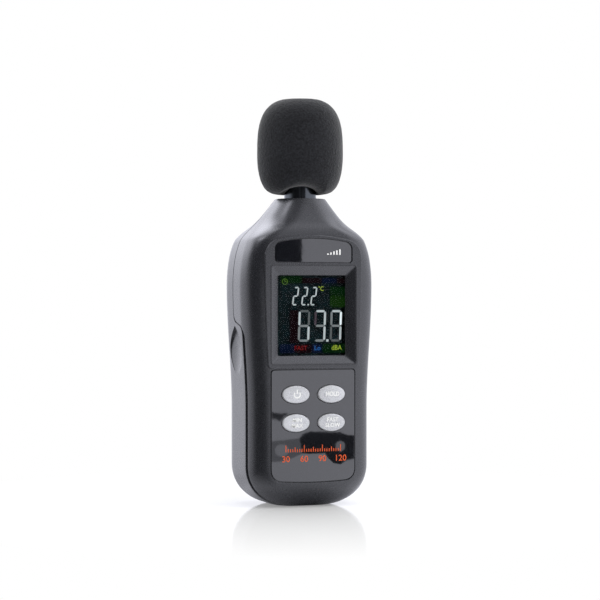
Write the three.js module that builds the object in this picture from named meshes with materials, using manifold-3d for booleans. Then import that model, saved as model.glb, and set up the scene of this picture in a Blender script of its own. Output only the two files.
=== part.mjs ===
// A handheld sound level meter: two moulded shells around a board, a colour display, four buttons
// and three AAA cells, with a microphone tube on top that carries a foam windscreen.
// Millimetres, +Z up, the display faces -Y, and the case stands on the flat of its base.
import * as THREE from 'three';
import { mergeVertices } from 'three/addons/utils/BufferGeometryUtils.js';
import Module from 'manifold-3d';

const wasm = await Module();
wasm.setup();

// Case outline
const caseHeight = 121.6; // from the base to the top of the collar
const shoulderWidth = 55.1;
const gripWidth = 50.9;
const caseDepth = 33;
const caseCorner = 9;
const collarRadius = 10;
const collarForward = 1.2; // the collar and the microphone sit this far in front of the case's middle
const baseWidth = 17; // the flat that the meter stands on
const baseDepth = 19;
const baseCorner = 6;
const baseBack = 1.2; // the base sits this far behind the case's middle
const sideRise = 16; // height over which the sides round in to the base
const faceRise = 10; // the same for the front and the back
const swellHeight = 38; // the sides widen from here up to the shoulder
const shoulderHeight = 87;
const wall = 2;
const leastFlat = 0.2;

// Seam between the shells
const seamGap = 0.3;
const seamPlane = 0.7; // where the halves meet above the grip
const wrapPlane = -9; // how far forward the rear shell comes below the shoulder
const wrapTop = 74;
const wrapDrop = 3.6; // fall of the seam while it runs forward
const seamRound = 2.4;

// Finger scoops on the sides
const scoopHeight = 20.5;
const scoopWidth = 15;
const scoopDepth = 1.1;
const scoopMiddle = 61;
const scoopBow = 14; // how far the hollow's curvature runs past the leaf
const scoopStretchAlong = 1.15; // how much longer the hollow is from front to back
const scoopStretchUp = 1.6; // how much taller the hollow is

// Raised mask round the display
const maskProud = 0.6;
const maskWidth = 40.6;
const maskBottom = 54.5;
const maskTop = 105;
const maskCorner = 8;
const maskCrown = 1.9; // rise of the arched top edge

// Display
const bezelWidth = 37;
const bezelHeight = 40.6;
const bezelMiddle = 75.1;
const glassWidth = 28.1;
const glassHeight = 31.4;
const glassMiddle = 75.3;
const bezelDepth = 2.2;
const lipThickness = 0.6;
const windowMargin = 1.8; // the window is wider than its opening by this on each side
const windowThickness = 1.2;
const lcdMargin = 1.5;
const lcdThickness = 2;
const backlightThickness = 1.5;
const backlightInset = 2.9;
const stripThickness = 1.8;
const frameWall = 1.3;

// Nameplate
const plateWidth = 31.8;
const plateBottom = 96.2;
const plateTop = 103.7;
const plateCrown = 1.8;
const plateCorner = 2.6;
const plateRecess = 0.7;
const plateThickness = 0.5;

// Button panel
const panelWidth = 34.7;
const panelTop = 54;
const panelBottom = 10.8;
const panelCrown = 0.7; // rise of the arched bottom edge
const panelTopCorner = 1.4;
const panelBottomCorner = 4.6;
const panelThickness = 0.9;

// Buttons
const buttonWidth = 11.3;
const buttonHeight = 6.9;
const buttonPitchX = 14.8;
const buttonPitchZ = 11.15;
const buttonRowsMiddle = 38.85;
const buttonProud = 1.1;
const buttonDome = 0.5;
const buttonFlange = 0.9; // overhang of the flange that keeps the cap in
const buttonFlangeThickness = 0.8;
const buttonClearance = 0.25;
const switchSide = 6;
const switchHeight = 3.4;
const plungerRadius = 1.7;
const plungerReach = 1;

// Board
const boardWidth = 43;
const boardBottom = 13;
const boardTop = 104;
const boardCorner = 7;
const boardThickness = 1.6;
const boardFront = -8.4;

// Screws and bosses
const bossRadius = 2.6;
const bossX = 20.2;
const lowerBossZ = 21;
const upperBossX = 21.2;
const upperBossZ = 97;
const bossMeet = -4; // where the front boss meets the rear boss
const screwRadius = 1;
const screwHeadRadius = 2.1;
const screwHeadHeight = 1.5;
const screwReach = 7; // length of thread in the front boss
const screwDepth = 9; // how deep the head sits below the back
const boardPostRadius = 1.9;
const boardPostRoom = 0.35; // between the display's frame and a post
const boardScrewRadius = 0.8;
const boardScrewHeadRadius = 1.6;
const boardScrewHeadHeight = 1;
const boardScrewReach = 3.5;

// Cells and their bay
const cellRadius = 5.25;
const cellLength = 44.5;
const cellNub = 1;
const cellNubRadius = 1.9;
const cellCount = 3;
const cellSpace = 0.3; // room between cells, and to the bay
const bayBottom = 13.6;
const bayHeight = 50.8;
const bayWall = 1.6;
const contactThickness = 0.4;
const contactDepth = 8.4;
const springBaseRadius = 3.4;
const springTipRadius = 1.9;
const contactNubHeight = 0.3;
const contactNubRadius = 1.5;

// Battery door
const doorWidth = 34.4;
const doorBottom = 11.8;
const doorTop = 65.4;
const doorCorner = 3;
const doorThickness = 1.6;
const doorGap = 0.3;
const doorPinDepth = 1; // hinge axis below the outer face, and up from the bottom edge
const doorPinRadius = 0.4;
const doorPinLength = 0.7;
const doorPinRoom = 0.3;
const hookWidth = 8;
const hookHeight = 1.2;
const hookDepth = 1.4;

// Microphone
const tubeRadius = 6.4;
const tubeWall = 1.1;
const tubeBottom = 108.5;
const tubeTop = 146;
const tubeFlangeRadius = 8.2;
const tubeFlangeHeight = 1.8;
const collarCeiling = 3;
const flangeWeb = 2.2; // web of the shells under the flange
const grilleThickness = 0.6;
const grilleHoleRadius = 0.6;
const grilleHoleRing = 2.6;
const grilleHoleCount = 6;
const bootWall = 1.1;
const bootHeight = 7.4;
const capsuleHeight = 5.2;

// Windscreen
const foamRadius = 17.2;
const foamBottom = 123.4;
const foamTop = 161.9;
const foamWaist = 139.0; // height of the widest place
const foamDomePower = 3.1;
const foamFootPower = 1.9;
const foamFootSquare = 6.4;

// Small parts on the board
const controllerSide = 10;
const amplifierLength = 5;
const amplifierWidth = 4;
const chipHeight = 1.5;
const crystalLength = 7;
const crystalRadius = 1.2;
const capacitorRadius = 2.5;
const capacitorHeight = 5.5;
const trimmerSide = 6.4;
const trimmerHeight = 4.4;
const trimmerDial = 2;
const sensorRadius = 1.1;
const sensorLegs = 4;
const leadRadius = 0.45;
const leadSteps = 14;

// One gap for pieces that lie against each other, and one overrun for cuts
const fit = 0.3;
const over = 2;

// Shares of the shoulder's fall from its widest place (0) to the collar's top (1)
const shoulderSideShares = [
  [0, 1], [0.3, 0.952], [0.51, 0.832], [0.58, 0.732], [0.72, 0.455], [0.855, 0.225], [1, 0],
];
const shoulderFaceShares = [
  [0, 1], [0.4, 1], [0.5, 0.985], [0.58, 0.93], [0.647, 0.8], [0.717, 0.58], [0.855, 0.27], [1, 0],
];
const roundingShares = [[0, 0], [0.5, 0.03], [0.6, 0.2], [0.72, 0.8], [0.8, 1], [1, 1]];
const ringShares = [0, 0.012, 0.03, 0.055, 0.085, 0.13, 0.32, 0.44, 0.58, 0.715,
  0.77, 0.81, 0.84, 0.865, 0.89, 0.915, 0.94, 0.968, 1];

const cornerSteps = 6;
const roundSides = 24;
const smallSides = 12;
const foamSides = 28;

const front = -caseDepth / 2;
const back = caseDepth / 2;
const maskFront = front - maskProud;
const innerFront = front + wall;

// Helpers

function solid(geometry) {
  const bare = geometry.clone();
  bare.deleteAttribute('normal');
  bare.deleteAttribute('uv');
  const merged = mergeVertices(bare, 1e-4);
  const vertProperties = merged.attributes.position.array;
  const triVerts = new Uint32Array(merged.index.array);
  return new wasm.Manifold(new wasm.Mesh({ numProp: 3, vertProperties, triVerts }));
}

function geometryOf(made) {
  const mesh = made.getMesh();
  const geometry = new THREE.BufferGeometry();
  const points = new THREE.BufferAttribute(new Float32Array(mesh.vertProperties), mesh.numProp);
  geometry.setAttribute('position', points);
  geometry.setIndex(new THREE.BufferAttribute(new Uint32Array(mesh.triVerts), 1));
  return geometry;
}

const mix = (low, high, share) => low + (high - low) * share;
const unit = (value) => Math.min(Math.max(value, 0), 1);
const smooth = (share) => share * share * (3 - 2 * share);
const roundUp = (z, rise) => Math.sqrt(1 - (1 - unit(z / rise)) ** 2);

// Height of a smooth curve through shares, read at a share of its run.
function curveAt(shares, at) {
  const last = shares.length - 1;
  let k = 0;
  while (k < last - 1 && at > shares[k + 1][0]) k += 1;
  const slope = (i) => {
    const before = shares[Math.max(i - 1, 0)];
    const after = shares[Math.min(i + 1, last)];
    const flat = i === 0 || before[1] === shares[i][1];
    return flat ? 0 : (after[1] - before[1]) / (after[0] - before[0]);
  };
  const run = shares[k + 1][0] - shares[k][0];
  const t = unit((at - shares[k][0]) / run);
  const rise = shares[k + 1][1] - shares[k][1];
  const bend = (1 - t) * slope(k) * run - t * slope(k + 1) * run - (1 - 2 * t) * rise;
  return shares[k][1] + t * rise + t * (1 - t) * bend;
}

// The case's rounded section at a height, drawn in by an inset.
function sectionAt(z, inset) {
  const fall = unit((z - shoulderHeight) / (caseHeight - shoulderHeight));
  const swell = smooth(unit((z - swellHeight) / (shoulderHeight - swellHeight)));
  const side = mix(baseWidth, mix(gripWidth, shoulderWidth, swell), roundUp(z, sideRise)) / 2;
  const face = mix(baseDepth, caseDepth, roundUp(z, faceRise)) / 2;
  const corner = mix(baseCorner, caseCorner, roundUp(z, faceRise));
  const halfWidth = mix(collarRadius, side, curveAt(shoulderSideShares, fall)) - inset;
  const halfDepth = mix(collarRadius, face, curveAt(shoulderFaceShares, fall)) - inset;
  const footed = mix(baseBack, 0, roundUp(z, faceRise));
  const middle = mix(-collarForward, footed, curveAt(shoulderFaceShares, fall));
  const most = Math.min(halfWidth, halfDepth) - leastFlat;
  const rounded = mix(corner - inset, most, curveAt(roundingShares, fall));
  return { middle, halfWidth, halfDepth, corner: Math.min(rounded, most) };
}

function ring({ middle, halfWidth, halfDepth, corner }, z) {
  const points = [];
  for (let quarter = 0; quarter < 4; quarter += 1) {
    const signX = quarter === 0 || quarter === 3 ? 1 : -1;
    const signY = quarter < 2 ? 1 : -1;
    for (let k = 0; k <= cornerSteps; k += 1) {
      const angle = (quarter + k / cornerSteps) * Math.PI / 2;
      const x = signX * (halfWidth - corner) + corner * Math.cos(angle);
      const y = middle + signY * (halfDepth - corner) + corner * Math.sin(angle);
      points.push(new THREE.Vector3(x, y, z));
    }
  }
  return points;
}

// A closed skin over rings of equal count, each run counter-clockwise seen from above.
function loft(rings) {
  const count = rings[0].length;
  const points = rings.flat();
  const index = [];
  for (let r = 0; r + 1 < rings.length; r += 1) {
    for (let k = 0; k < count; k += 1) {
      const next = (k + 1) % count;
      const low = r * count;
      const high = low + count;
      index.push(low + k, low + next, high + next, low + k, high + next, high + k);
    }
  }
  const top = (rings.length - 1) * count;
  for (let k = 1; k + 1 < count; k += 1) {
    index.push(0, k + 1, k);
    index.push(top, top + k, top + k + 1);
  }
  const geometry = new THREE.BufferGeometry().setFromPoints(points);
  geometry.setIndex(index);
  return geometry;
}

function caseBlock(inset, from, to) {
  const heights = ringShares.map((share) => share * caseHeight);
  const between = heights.filter((z) => z > from + leastFlat && z < to - leastFlat);
  return solid(loft([from, ...between, to].map((z) => ring(sectionAt(z, inset), z))));
}

// Plates are drawn in X and Z and reach from one Y to another.
function plate(shape, fromY, toY, curveSegments = smallSides) {
  const depth = toY - fromY;
  const geometry = new THREE.ExtrudeGeometry(shape, { depth, bevelEnabled: false, curveSegments });
  return geometry.rotateX(Math.PI / 2).translate(0, toY, 0);
}

// Profiles of the side view are drawn in Y and Z and reach across X.
function across(shape, fromX, toX) {
  const curveSegments = smallSides;
  const depth = toX - fromX;
  const geometry = new THREE.ExtrudeGeometry(shape, { depth, bevelEnabled: false, curveSegments });
  const turn = new THREE.Matrix4().makeBasis(
    new THREE.Vector3(0, 1, 0), new THREE.Vector3(0, 0, 1), new THREE.Vector3(1, 0, 0));
  return geometry.applyMatrix4(turn).translate(fromX, 0, 0);
}

function rodY(radius, fromY, toY, x, z, sides = smallSides) {
  const rod = new THREE.CylinderGeometry(radius, radius, toY - fromY, sides);
  return rod.translate(x, (fromY + toY) / 2, z);
}

function rodX(radius, fromX, toX, y, z) {
  const rod = new THREE.CylinderGeometry(radius, radius, toX - fromX, smallSides);
  return rod.rotateZ(-Math.PI / 2).translate((fromX + toX) / 2, y, z);
}

function rodZ(radius, fromZ, toZ, x = 0, y = 0, sides = roundSides) {
  const rod = new THREE.CylinderGeometry(radius, radius, toZ - fromZ, sides);
  return rod.rotateX(Math.PI / 2).translate(x, y, (fromZ + toZ) / 2);
}

function block(width, depth, height, x, y, z) {
  return new THREE.BoxGeometry(width, depth, height).translate(x, y, z);
}

// A profile of [radius, height] pairs, from the bottom up, turned about Z.
function turned(profile, sides = roundSides) {
  const points = profile.map(([radius, z]) => new THREE.Vector2(radius, z));
  return new THREE.LatheGeometry(points, sides).rotateX(Math.PI / 2);
}

// A tube's wall as a closed profile.
function sleeve(inner, outer, fromZ, toZ) {
  return turned([[inner, fromZ], [outer, fromZ], [outer, toZ], [inner, toZ], [inner, fromZ]]);
}

function roundedBox(width, bottom, top, corner) {
  const half = width / 2;
  const shape = new THREE.Shape();
  shape.moveTo(-half + corner, bottom);
  shape.lineTo(half - corner, bottom);
  shape.absarc(half - corner, bottom + corner, corner, -Math.PI / 2, 0);
  shape.absarc(half - corner, top - corner, corner, 0, Math.PI / 2);
  shape.absarc(-half + corner, top - corner, corner, Math.PI / 2, Math.PI);
  shape.absarc(-half + corner, bottom + corner, corner, Math.PI, Math.PI * 1.5);
  return shape;
}

// A plate outline with an arched end. The arch rises by crown in its middle, towards side 1 or -1.
function archedBox(width, straightEnd, archedEnd, straightCorner, archCorner, crown) {
  const half = width / 2;
  const side = Math.sign(archedEnd - straightEnd);
  const shape = new THREE.Shape();
  shape.moveTo(-half, straightEnd + side * straightCorner);
  shape.quadraticCurveTo(-half, straightEnd, -half + straightCorner, straightEnd);
  shape.lineTo(half - straightCorner, straightEnd);
  shape.quadraticCurveTo(half, straightEnd, half, straightEnd + side * straightCorner);
  shape.lineTo(half, archedEnd - side * archCorner);
  const spring = archedEnd + side * crown / 3;
  shape.quadraticCurveTo(half, archedEnd, half - archCorner, spring);
  shape.quadraticCurveTo(0, archedEnd + side * crown * 5 / 3, -half + archCorner, spring);
  shape.quadraticCurveTo(-half, archedEnd, -half, archedEnd - side * archCorner);
  return shape;
}

function ellipse(width, height, x, z) {
  return new THREE.Shape().absellipse(x, z, width / 2, height / 2, 0, Math.PI * 2);
}

function lead(points) {
  const section = new THREE.Shape();
  const sides = 8;
  for (let k = 0; k < sides; k += 1) {
    const angle = k / sides * Math.PI * 2;
    section[k ? 'lineTo' : 'moveTo'](leadRadius * Math.cos(angle), leadRadius * Math.sin(angle));
  }
  const extrudePath = new THREE.CatmullRomCurve3(points.map((p) => new THREE.Vector3(...p)));
  return new THREE.ExtrudeGeometry(section, { steps: leadSteps, bevelEnabled: false, extrudePath });
}

const finishes = {
  shell: { color: 0x1f2024, roughness: 0.35, metalness: 0 },
  gloss: { color: 0x101114, roughness: 0.12, metalness: 0 },
  foam: { color: 0x222326, roughness: 0.95, metalness: 0 },
  darkMetal: { color: 0x3c3e40, roughness: 0.3, metalness: 0.6 },
  silver: { color: 0xb4b5b6, roughness: 0.45, metalness: 0.3 },
  glass: { color: 0x0c1416, roughness: 0.05, metalness: 0 },
  screen: { color: 0x0a2a22, roughness: 0.2, metalness: 0 },
  diffuser: { color: 0xf2f4f0, roughness: 0.5, metalness: 0 },
  board: { color: 0x1d5a35, roughness: 0.5, metalness: 0 },
  chip: { color: 0x1a1a1c, roughness: 0.5, metalness: 0 },
  steel: { color: 0x9fa2a6, roughness: 0.3, metalness: 1 },
  rubber: { color: 0x26272a, roughness: 0.8, metalness: 0 },
  blue: { color: 0x2a5fb4, roughness: 0.4, metalness: 0 },
  cell: { color: 0x2e3338, roughness: 0.35, metalness: 0.2 },
  red: { color: 0xb4201c, roughness: 0.45, metalness: 0 },
  black: { color: 0x141416, roughness: 0.45, metalness: 0 },
};

const meter = new THREE.Group();
const topEnd = new THREE.Group();
topEnd.position.y = -collarForward;
meter.add(topEnd);

function add(name, finish, shape, holder = meter) {
  const geometry = shape.isBufferGeometry ? shape : geometryOf(shape);
  geometry.computeVertexNormals();
  const mesh = new THREE.Mesh(geometry, new THREE.MeshStandardMaterial(finishes[finish]));
  mesh.name = name;
  holder.add(mesh);
}

// Places that several pieces share

const buttonPlaces = [
  ['power', -1, 1],
  ['hold', 1, 1],
  ['min_max', -1, -1],
  ['fast_slow', 1, -1],
].map(([name, column, row]) => ({
  name,
  x: column * buttonPitchX / 2,
  z: buttonRowsMiddle + row * buttonPitchZ / 2,
}));

const bosses = [
  [-bossX, lowerBossZ],
  [bossX, lowerBossZ],
  [-upperBossX, upperBossZ],
  [upperBossX, upperBossZ],
];


const boardBack = boardFront + boardThickness;
const lipFront = maskFront + bezelDepth;
const windowFront = lipFront + lipThickness + fit;
const windowBack = windowFront + windowThickness;
const lcdFront = windowBack + fit;
const lcdBack = lcdFront + lcdThickness;
const lcdWidth = glassWidth + 2 * lcdMargin;
const lcdHeight = glassHeight + 2 * lcdMargin;
const frameWidth = lcdWidth + 2 * fit + 2 * frameWall;
const frameHeight = lcdHeight + 2 * fit + 2 * frameWall;
const boardPostX = boardWidth / 2 - fit - boardPostRadius;
const boardPostZ = glassMiddle - frameHeight / 2 - boardPostRoom - boardPostRadius;
const posts = [[-boardPostX, boardPostZ], [boardPostX, boardPostZ]];

const cellPitch = 2 * cellRadius + cellSpace;
const bayWidth = cellCount * cellPitch + cellSpace;
const bayTop = bayBottom + bayHeight;
const cellY = back - doorThickness - 2 * fit - cellRadius - cellSpace;
const bayFloor = cellY - cellRadius - cellSpace;
const springRoom = bayHeight - cellLength - 2 * contactThickness - contactNubHeight - 3 * fit;

const doorAxisY = back - doorPinDepth;
const doorAxisZ = doorBottom + doorPinDepth;

const flangeTop = caseHeight - collarCeiling - fit;
const flangeBottom = flangeTop - tubeFlangeHeight;
const webTop = flangeBottom - fit;
const webBottom = webTop - flangeWeb;
const tubeBore = tubeRadius - tubeWall;

// Shells

// The rear shell's side of the seam, as a profile in Y and Z moved back and down by a gap.
function rearSide(gap) {
  const far = caseDepth;
  const upper = seamPlane + gap;
  const lower = wrapPlane + gap;
  const top = wrapTop - gap;
  const shape = new THREE.Shape();
  shape.moveTo(far, -far);
  shape.lineTo(far, caseHeight + far);
  shape.lineTo(upper, caseHeight + far);
  shape.lineTo(upper, top + seamRound);
  shape.quadraticCurveTo(upper, top, upper - seamRound, top - wrapDrop / 3);
  shape.lineTo(lower + seamRound, top - wrapDrop * 2 / 3);
  shape.quadraticCurveTo(lower, top - wrapDrop, lower, top - wrapDrop - seamRound);
  shape.lineTo(lower, -far);
  return solid(across(shape, -caseDepth, caseDepth));
}

function hollowCase() {
  const bore = solid(rodZ(tubeRadius + fit, tubeBottom, caseHeight + over, 0, -collarForward));
  const pocket = solid(rodZ(tubeFlangeRadius + fit, webTop, flangeTop + fit, 0, -collarForward));
  const outside = caseBlock(0, 0, caseHeight);
  const inside = caseBlock(wall, wall, webBottom);
  return outside.subtract(inside).subtract(bore).subtract(pocket);
}

function maskBlock() {
  const shape = archedBox(maskWidth, maskBottom, maskTop, maskCorner / 3, maskCorner, maskCrown);
  return solid(plate(shape, maskFront, innerFront));
}

// The chamfered opening of the display: four sides that slope in to the lip.
function bezelCut() {
  const outer = [bezelWidth / 2, bezelHeight / 2, bezelMiddle, maskFront];
  const inner = [glassWidth / 2, glassHeight / 2, glassMiddle, lipFront];
  const through = [glassWidth / 2, glassHeight / 2, glassMiddle, innerFront + over];
  const slopeOut = (outer[0] - inner[0]) / bezelDepth * over;
  const mouth = [outer[0] + slopeOut, outer[1] + slopeOut, bezelMiddle, maskFront - over];
  const corners = ([halfWidth, halfHeight, middle, y]) => [
    new THREE.Vector3(-halfWidth, y, middle - halfHeight),
    new THREE.Vector3(halfWidth, y, middle - halfHeight),
    new THREE.Vector3(halfWidth, y, middle + halfHeight),
    new THREE.Vector3(-halfWidth, y, middle + halfHeight),
  ];
  return solid(loft([through, inner, outer, mouth].map((level) => corners(level))));
}

function scoop(side) {
  const half = scoopHeight / 2;
  const leaf = new THREE.Shape();
  leaf.moveTo(0, scoopMiddle - half);
  leaf.quadraticCurveTo(scoopWidth, scoopMiddle, 0, scoopMiddle + half);
  leaf.quadraticCurveTo(-scoopWidth, scoopMiddle, 0, scoopMiddle - half);
  const reach = shoulderWidth / 2;
  const outline = solid(across(leaf, side < 0 ? -2 * reach : 0, side < 0 ? 0 : 2 * reach));
  const hollow = new THREE.SphereGeometry(1, roundSides, smallSides);
  const bottomX = sectionAt(scoopMiddle, 0).halfWidth - scoopDepth;
  hollow.scale(scoopBow / 2, scoopBow * scoopStretchAlong, scoopBow * scoopStretchUp);
  hollow.translate(side * (bottomX + scoopBow / 2), 0, scoopMiddle);
  return outline.intersect(solid(hollow));
}

function frontShell(body, casing) {
  let made = body.add(maskBlock());
  for (const [x, z] of bosses) {
    made = made.add(solid(rodY(bossRadius, innerFront - fit, bossMeet - fit / 2, x, z)).intersect(casing));
  }
  for (const [x, z] of posts) {
    made = made.add(solid(rodY(boardPostRadius, innerFront - fit, boardFront - fit, x, z)));
  }
  made = made.subtract(bezelCut());
  const windowHalf = glassWidth / 2 + windowMargin + fit;
  const windowSpan = glassHeight + 2 * windowMargin + 2 * fit;
  const windowY = lipFront + lipThickness + over / 2;
  made = made.subtract(solid(block(2 * windowHalf, over, windowSpan, 0, windowY, glassMiddle)));
  const plateShape = archedBox(plateWidth + 2 * fit, plateBottom - fit, plateTop + fit,
    plateCorner / 2, plateCorner, plateCrown);
  made = made.subtract(solid(plate(plateShape, maskFront - over, maskFront + plateRecess)));
  const panelShape = archedBox(panelWidth + 2 * fit, panelTop + fit, panelBottom - fit,
    panelTopCorner, panelBottomCorner, panelCrown);
  made = made.subtract(solid(plate(panelShape, maskFront - over, front + panelThickness)));
  for (const { x, z } of buttonPlaces) {
    const hole = ellipse(buttonWidth + 4 * buttonClearance, buttonHeight + 4 * buttonClearance, x, z);
    made = made.subtract(solid(plate(hole, maskFront, innerFront + over)));
  }
  for (const [x, z] of bosses) {
    made = made.subtract(solid(rodY(screwRadius + fit, bossMeet - screwReach - fit, over, x, z)));
  }
  for (const [x, z] of posts) {
    made = made.subtract(solid(rodY(boardScrewRadius + fit, boardFront - boardScrewReach - fit, over, x, z)));
  }
  return made;
}

function doorOutline(grow) {
  return roundedBox(doorWidth + 2 * grow, doorBottom - grow, doorTop + grow, doorCorner + grow);
}

function rearShell(body, casing) {
  const bayReach = bayWidth + 2 * bayWall;
  const bayDepth = back - (bayFloor - bayWall);
  const bayMiddle = (bayBottom + bayTop) / 2;
  const bay = block(bayReach, bayDepth, bayHeight + 2 * bayWall, 0, back - bayDepth / 2, bayMiddle);
  let made = body.add(solid(bay).intersect(casing));
  for (const [x, z] of bosses) {
    made = made.add(solid(rodY(bossRadius, bossMeet + fit / 2, back, x, z)).intersect(casing));
  }
  for (const [x, z] of bosses) {
    const headSeat = back - screwDepth;
    made = made.subtract(solid(rodY(screwHeadRadius + fit, headSeat, back + over, x, z)));
    made = made.subtract(solid(rodY(screwRadius + fit, bossMeet - over, back, x, z)));
  }
  const mouth = solid(plate(doorOutline(doorGap), 0, back + over));
  made = made.subtract(mouth.subtract(caseBlock(doorThickness + fit, 0, caseHeight)));
  const innerDepth = back - bayFloor + over;
  const inner = block(bayWidth, innerDepth, bayHeight, 0, bayFloor + innerDepth / 2, bayMiddle);
  made = made.subtract(solid(inner));
  const pinReach = doorWidth / 2 + doorPinLength + fit;
  const swingRoom = doorWidth / 2 + doorGap;
  made = made.subtract(solid(rodX(doorPinRadius + doorPinRoom, -pinReach, pinReach, doorAxisY, doorAxisZ)));
  made = made.subtract(solid(rodX(doorPinDepth + fit, -swingRoom, swingRoom, doorAxisY, doorAxisZ)));
  return made.subtract(scoop(-1)).subtract(scoop(1));
}

function batteryDoor(casing) {
  const skin = casing.subtract(caseBlock(doorThickness, 0, caseHeight));
  const above = block(2 * doorWidth, caseDepth, caseHeight, 0, back, doorAxisZ + caseHeight / 2);
  const roll = rodX(doorPinDepth, -doorWidth, doorWidth, doorAxisY, doorAxisZ);
  let made = solid(plate(doorOutline(0), 0, back + over)).intersect(skin);
  made = made.intersect(solid(above).add(solid(roll)));
  const pinReach = doorWidth / 2 + doorPinLength;
  const pins = solid(rodX(doorPinRadius, -pinReach, pinReach, doorAxisY, doorAxisZ));
  const hookTop = bayTop - fit;
  const hookY = back - doorThickness - (hookDepth - fit) / 2;
  const hook = block(hookWidth, hookDepth + fit, hookHeight, 0, hookY, hookTop - hookHeight / 2);
  return made.add(pins).add(solid(hook));
}

function makeCase() {
  const casing = caseBlock(0, 0, caseHeight);
  const hollow = hollowCase();
  add('front_shell', 'shell', frontShell(hollow.subtract(rearSide(0)), casing));
  add('rear_shell', 'shell', rearShell(hollow.intersect(rearSide(seamGap)), casing));
  add('battery_door', 'shell', batteryDoor(casing));
}

// Display, nameplate and button panel

function makeDisplay() {
  const windowWidth = glassWidth + 2 * windowMargin;
  const windowHeight = glassHeight + 2 * windowMargin;
  const windowY = (windowFront + windowBack) / 2;
  const lcdY = (lcdFront + lcdBack) / 2;
  add('display_window', 'glass', block(windowWidth, windowThickness, windowHeight, 0, windowY, glassMiddle));
  add('lcd_panel', 'screen', block(lcdWidth, lcdThickness, lcdHeight, 0, lcdY, glassMiddle));
  const lightHeight = lcdHeight - 2 * backlightInset;
  const lightFront = lcdBack + fit;
  add('backlight', 'diffuser', block(
    lcdWidth, backlightThickness, lightHeight, 0, lightFront + backlightThickness / 2, glassMiddle));
  const stripDepth = boardFront - lcdBack;
  for (const [name, side] of [['contact_strip_upper', 1], ['contact_strip_lower', -1]]) {
    const z = glassMiddle + side * (lcdHeight / 2 - stripThickness / 2);
    add(name, 'rubber', block(lcdWidth, stripDepth, stripThickness, 0, lcdBack + stripDepth / 2, z));
  }
  const frameDepth = boardFront - lcdFront;
  const frameY = boardFront - frameDepth / 2;
  const holeWidth = frameWidth - 2 * frameWall;
  const holeHeight = frameHeight - 2 * frameWall;
  const outer = block(frameWidth, frameDepth, frameHeight, 0, frameY, glassMiddle);
  const hole = block(holeWidth, frameDepth + over, holeHeight, 0, frameY, glassMiddle);
  add('display_frame', 'black', solid(outer).subtract(solid(hole)));
}

function makeTrim() {
  const plateShape = archedBox(plateWidth, plateBottom, plateTop, plateCorner / 2, plateCorner, plateCrown);
  const seat = maskFront + plateRecess;
  add('nameplate', 'gloss', plate(plateShape, seat - plateThickness, seat));
  const panelShape = archedBox(panelWidth, panelTop, panelBottom,
    panelTopCorner, panelBottomCorner, panelCrown);
  let panel = solid(plate(panelShape, front, front + panelThickness));
  for (const { x, z } of buttonPlaces) {
    const hole = ellipse(buttonWidth + 2 * buttonClearance, buttonHeight + 2 * buttonClearance, x, z);
    panel = panel.subtract(solid(plate(hole, front - over, front + over)));
  }
  add('button_panel', 'gloss', panel);
}

// Buttons and switches

function buttonCap(x, z) {
  const top = front - buttonProud;
  const flangeFront = innerFront + fit;
  const flangeBack = flangeFront + buttonFlangeThickness;
  const domeShape = ellipse(buttonWidth - 2 * buttonDome, buttonHeight - 2 * buttonDome, 0, 0);
  const dome = new THREE.ExtrudeGeometry(domeShape, {
    depth: flangeFront - top - buttonDome,
    bevelThickness: buttonDome,
    bevelSize: buttonDome,
    bevelSegments: 2,
    curveSegments: smallSides / 2,
  });
  dome.rotateX(Math.PI / 2).translate(x, flangeFront, z);
  const flangeShape = ellipse(buttonWidth + 2 * buttonFlange, buttonHeight + 2 * buttonFlange, x, z);
  const flange = plate(flangeShape, flangeFront, flangeBack);
  const stem = rodY(plungerRadius, flangeBack - fit, boardFront - switchHeight - plungerReach - fit, x, z);
  return solid(dome).add(solid(flange)).add(solid(stem));
}

function makeButtons() {
  const housingFront = boardFront - switchHeight;
  const plungerFront = housingFront - plungerReach;
  const boreDepth = switchHeight / 2;
  for (const { name, x, z } of buttonPlaces) {
    add(`button_${name}`, 'silver', buttonCap(x, z));
    const housing = block(switchSide, switchHeight, switchSide, x, boardFront - switchHeight / 2, z);
    const bore = rodY(plungerRadius + fit, housingFront - over, housingFront + boreDepth, x, z);
    add(`switch_${name}`, 'black', solid(housing).subtract(solid(bore)));
    add(`plunger_${name}`, 'steel', rodY(plungerRadius, plungerFront, housingFront + boreDepth / 2, x, z));
  }
}

// Board and what is soldered to it

function makeBoard() {
  const outline = roundedBox(boardWidth, boardBottom, boardTop, boardCorner);
  let board = solid(plate(outline, boardFront, boardBack));
  for (const [x, z] of bosses) {
    board = board.subtract(solid(rodY(bossRadius + fit, boardFront - over, boardBack + over, x, z)));
  }
  for (const [x, z] of posts) {
    board = board.subtract(solid(rodY(boardScrewRadius + fit, boardFront - over, boardBack + over, x, z)));
  }
  add('main_board', 'board', board);
}

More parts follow.
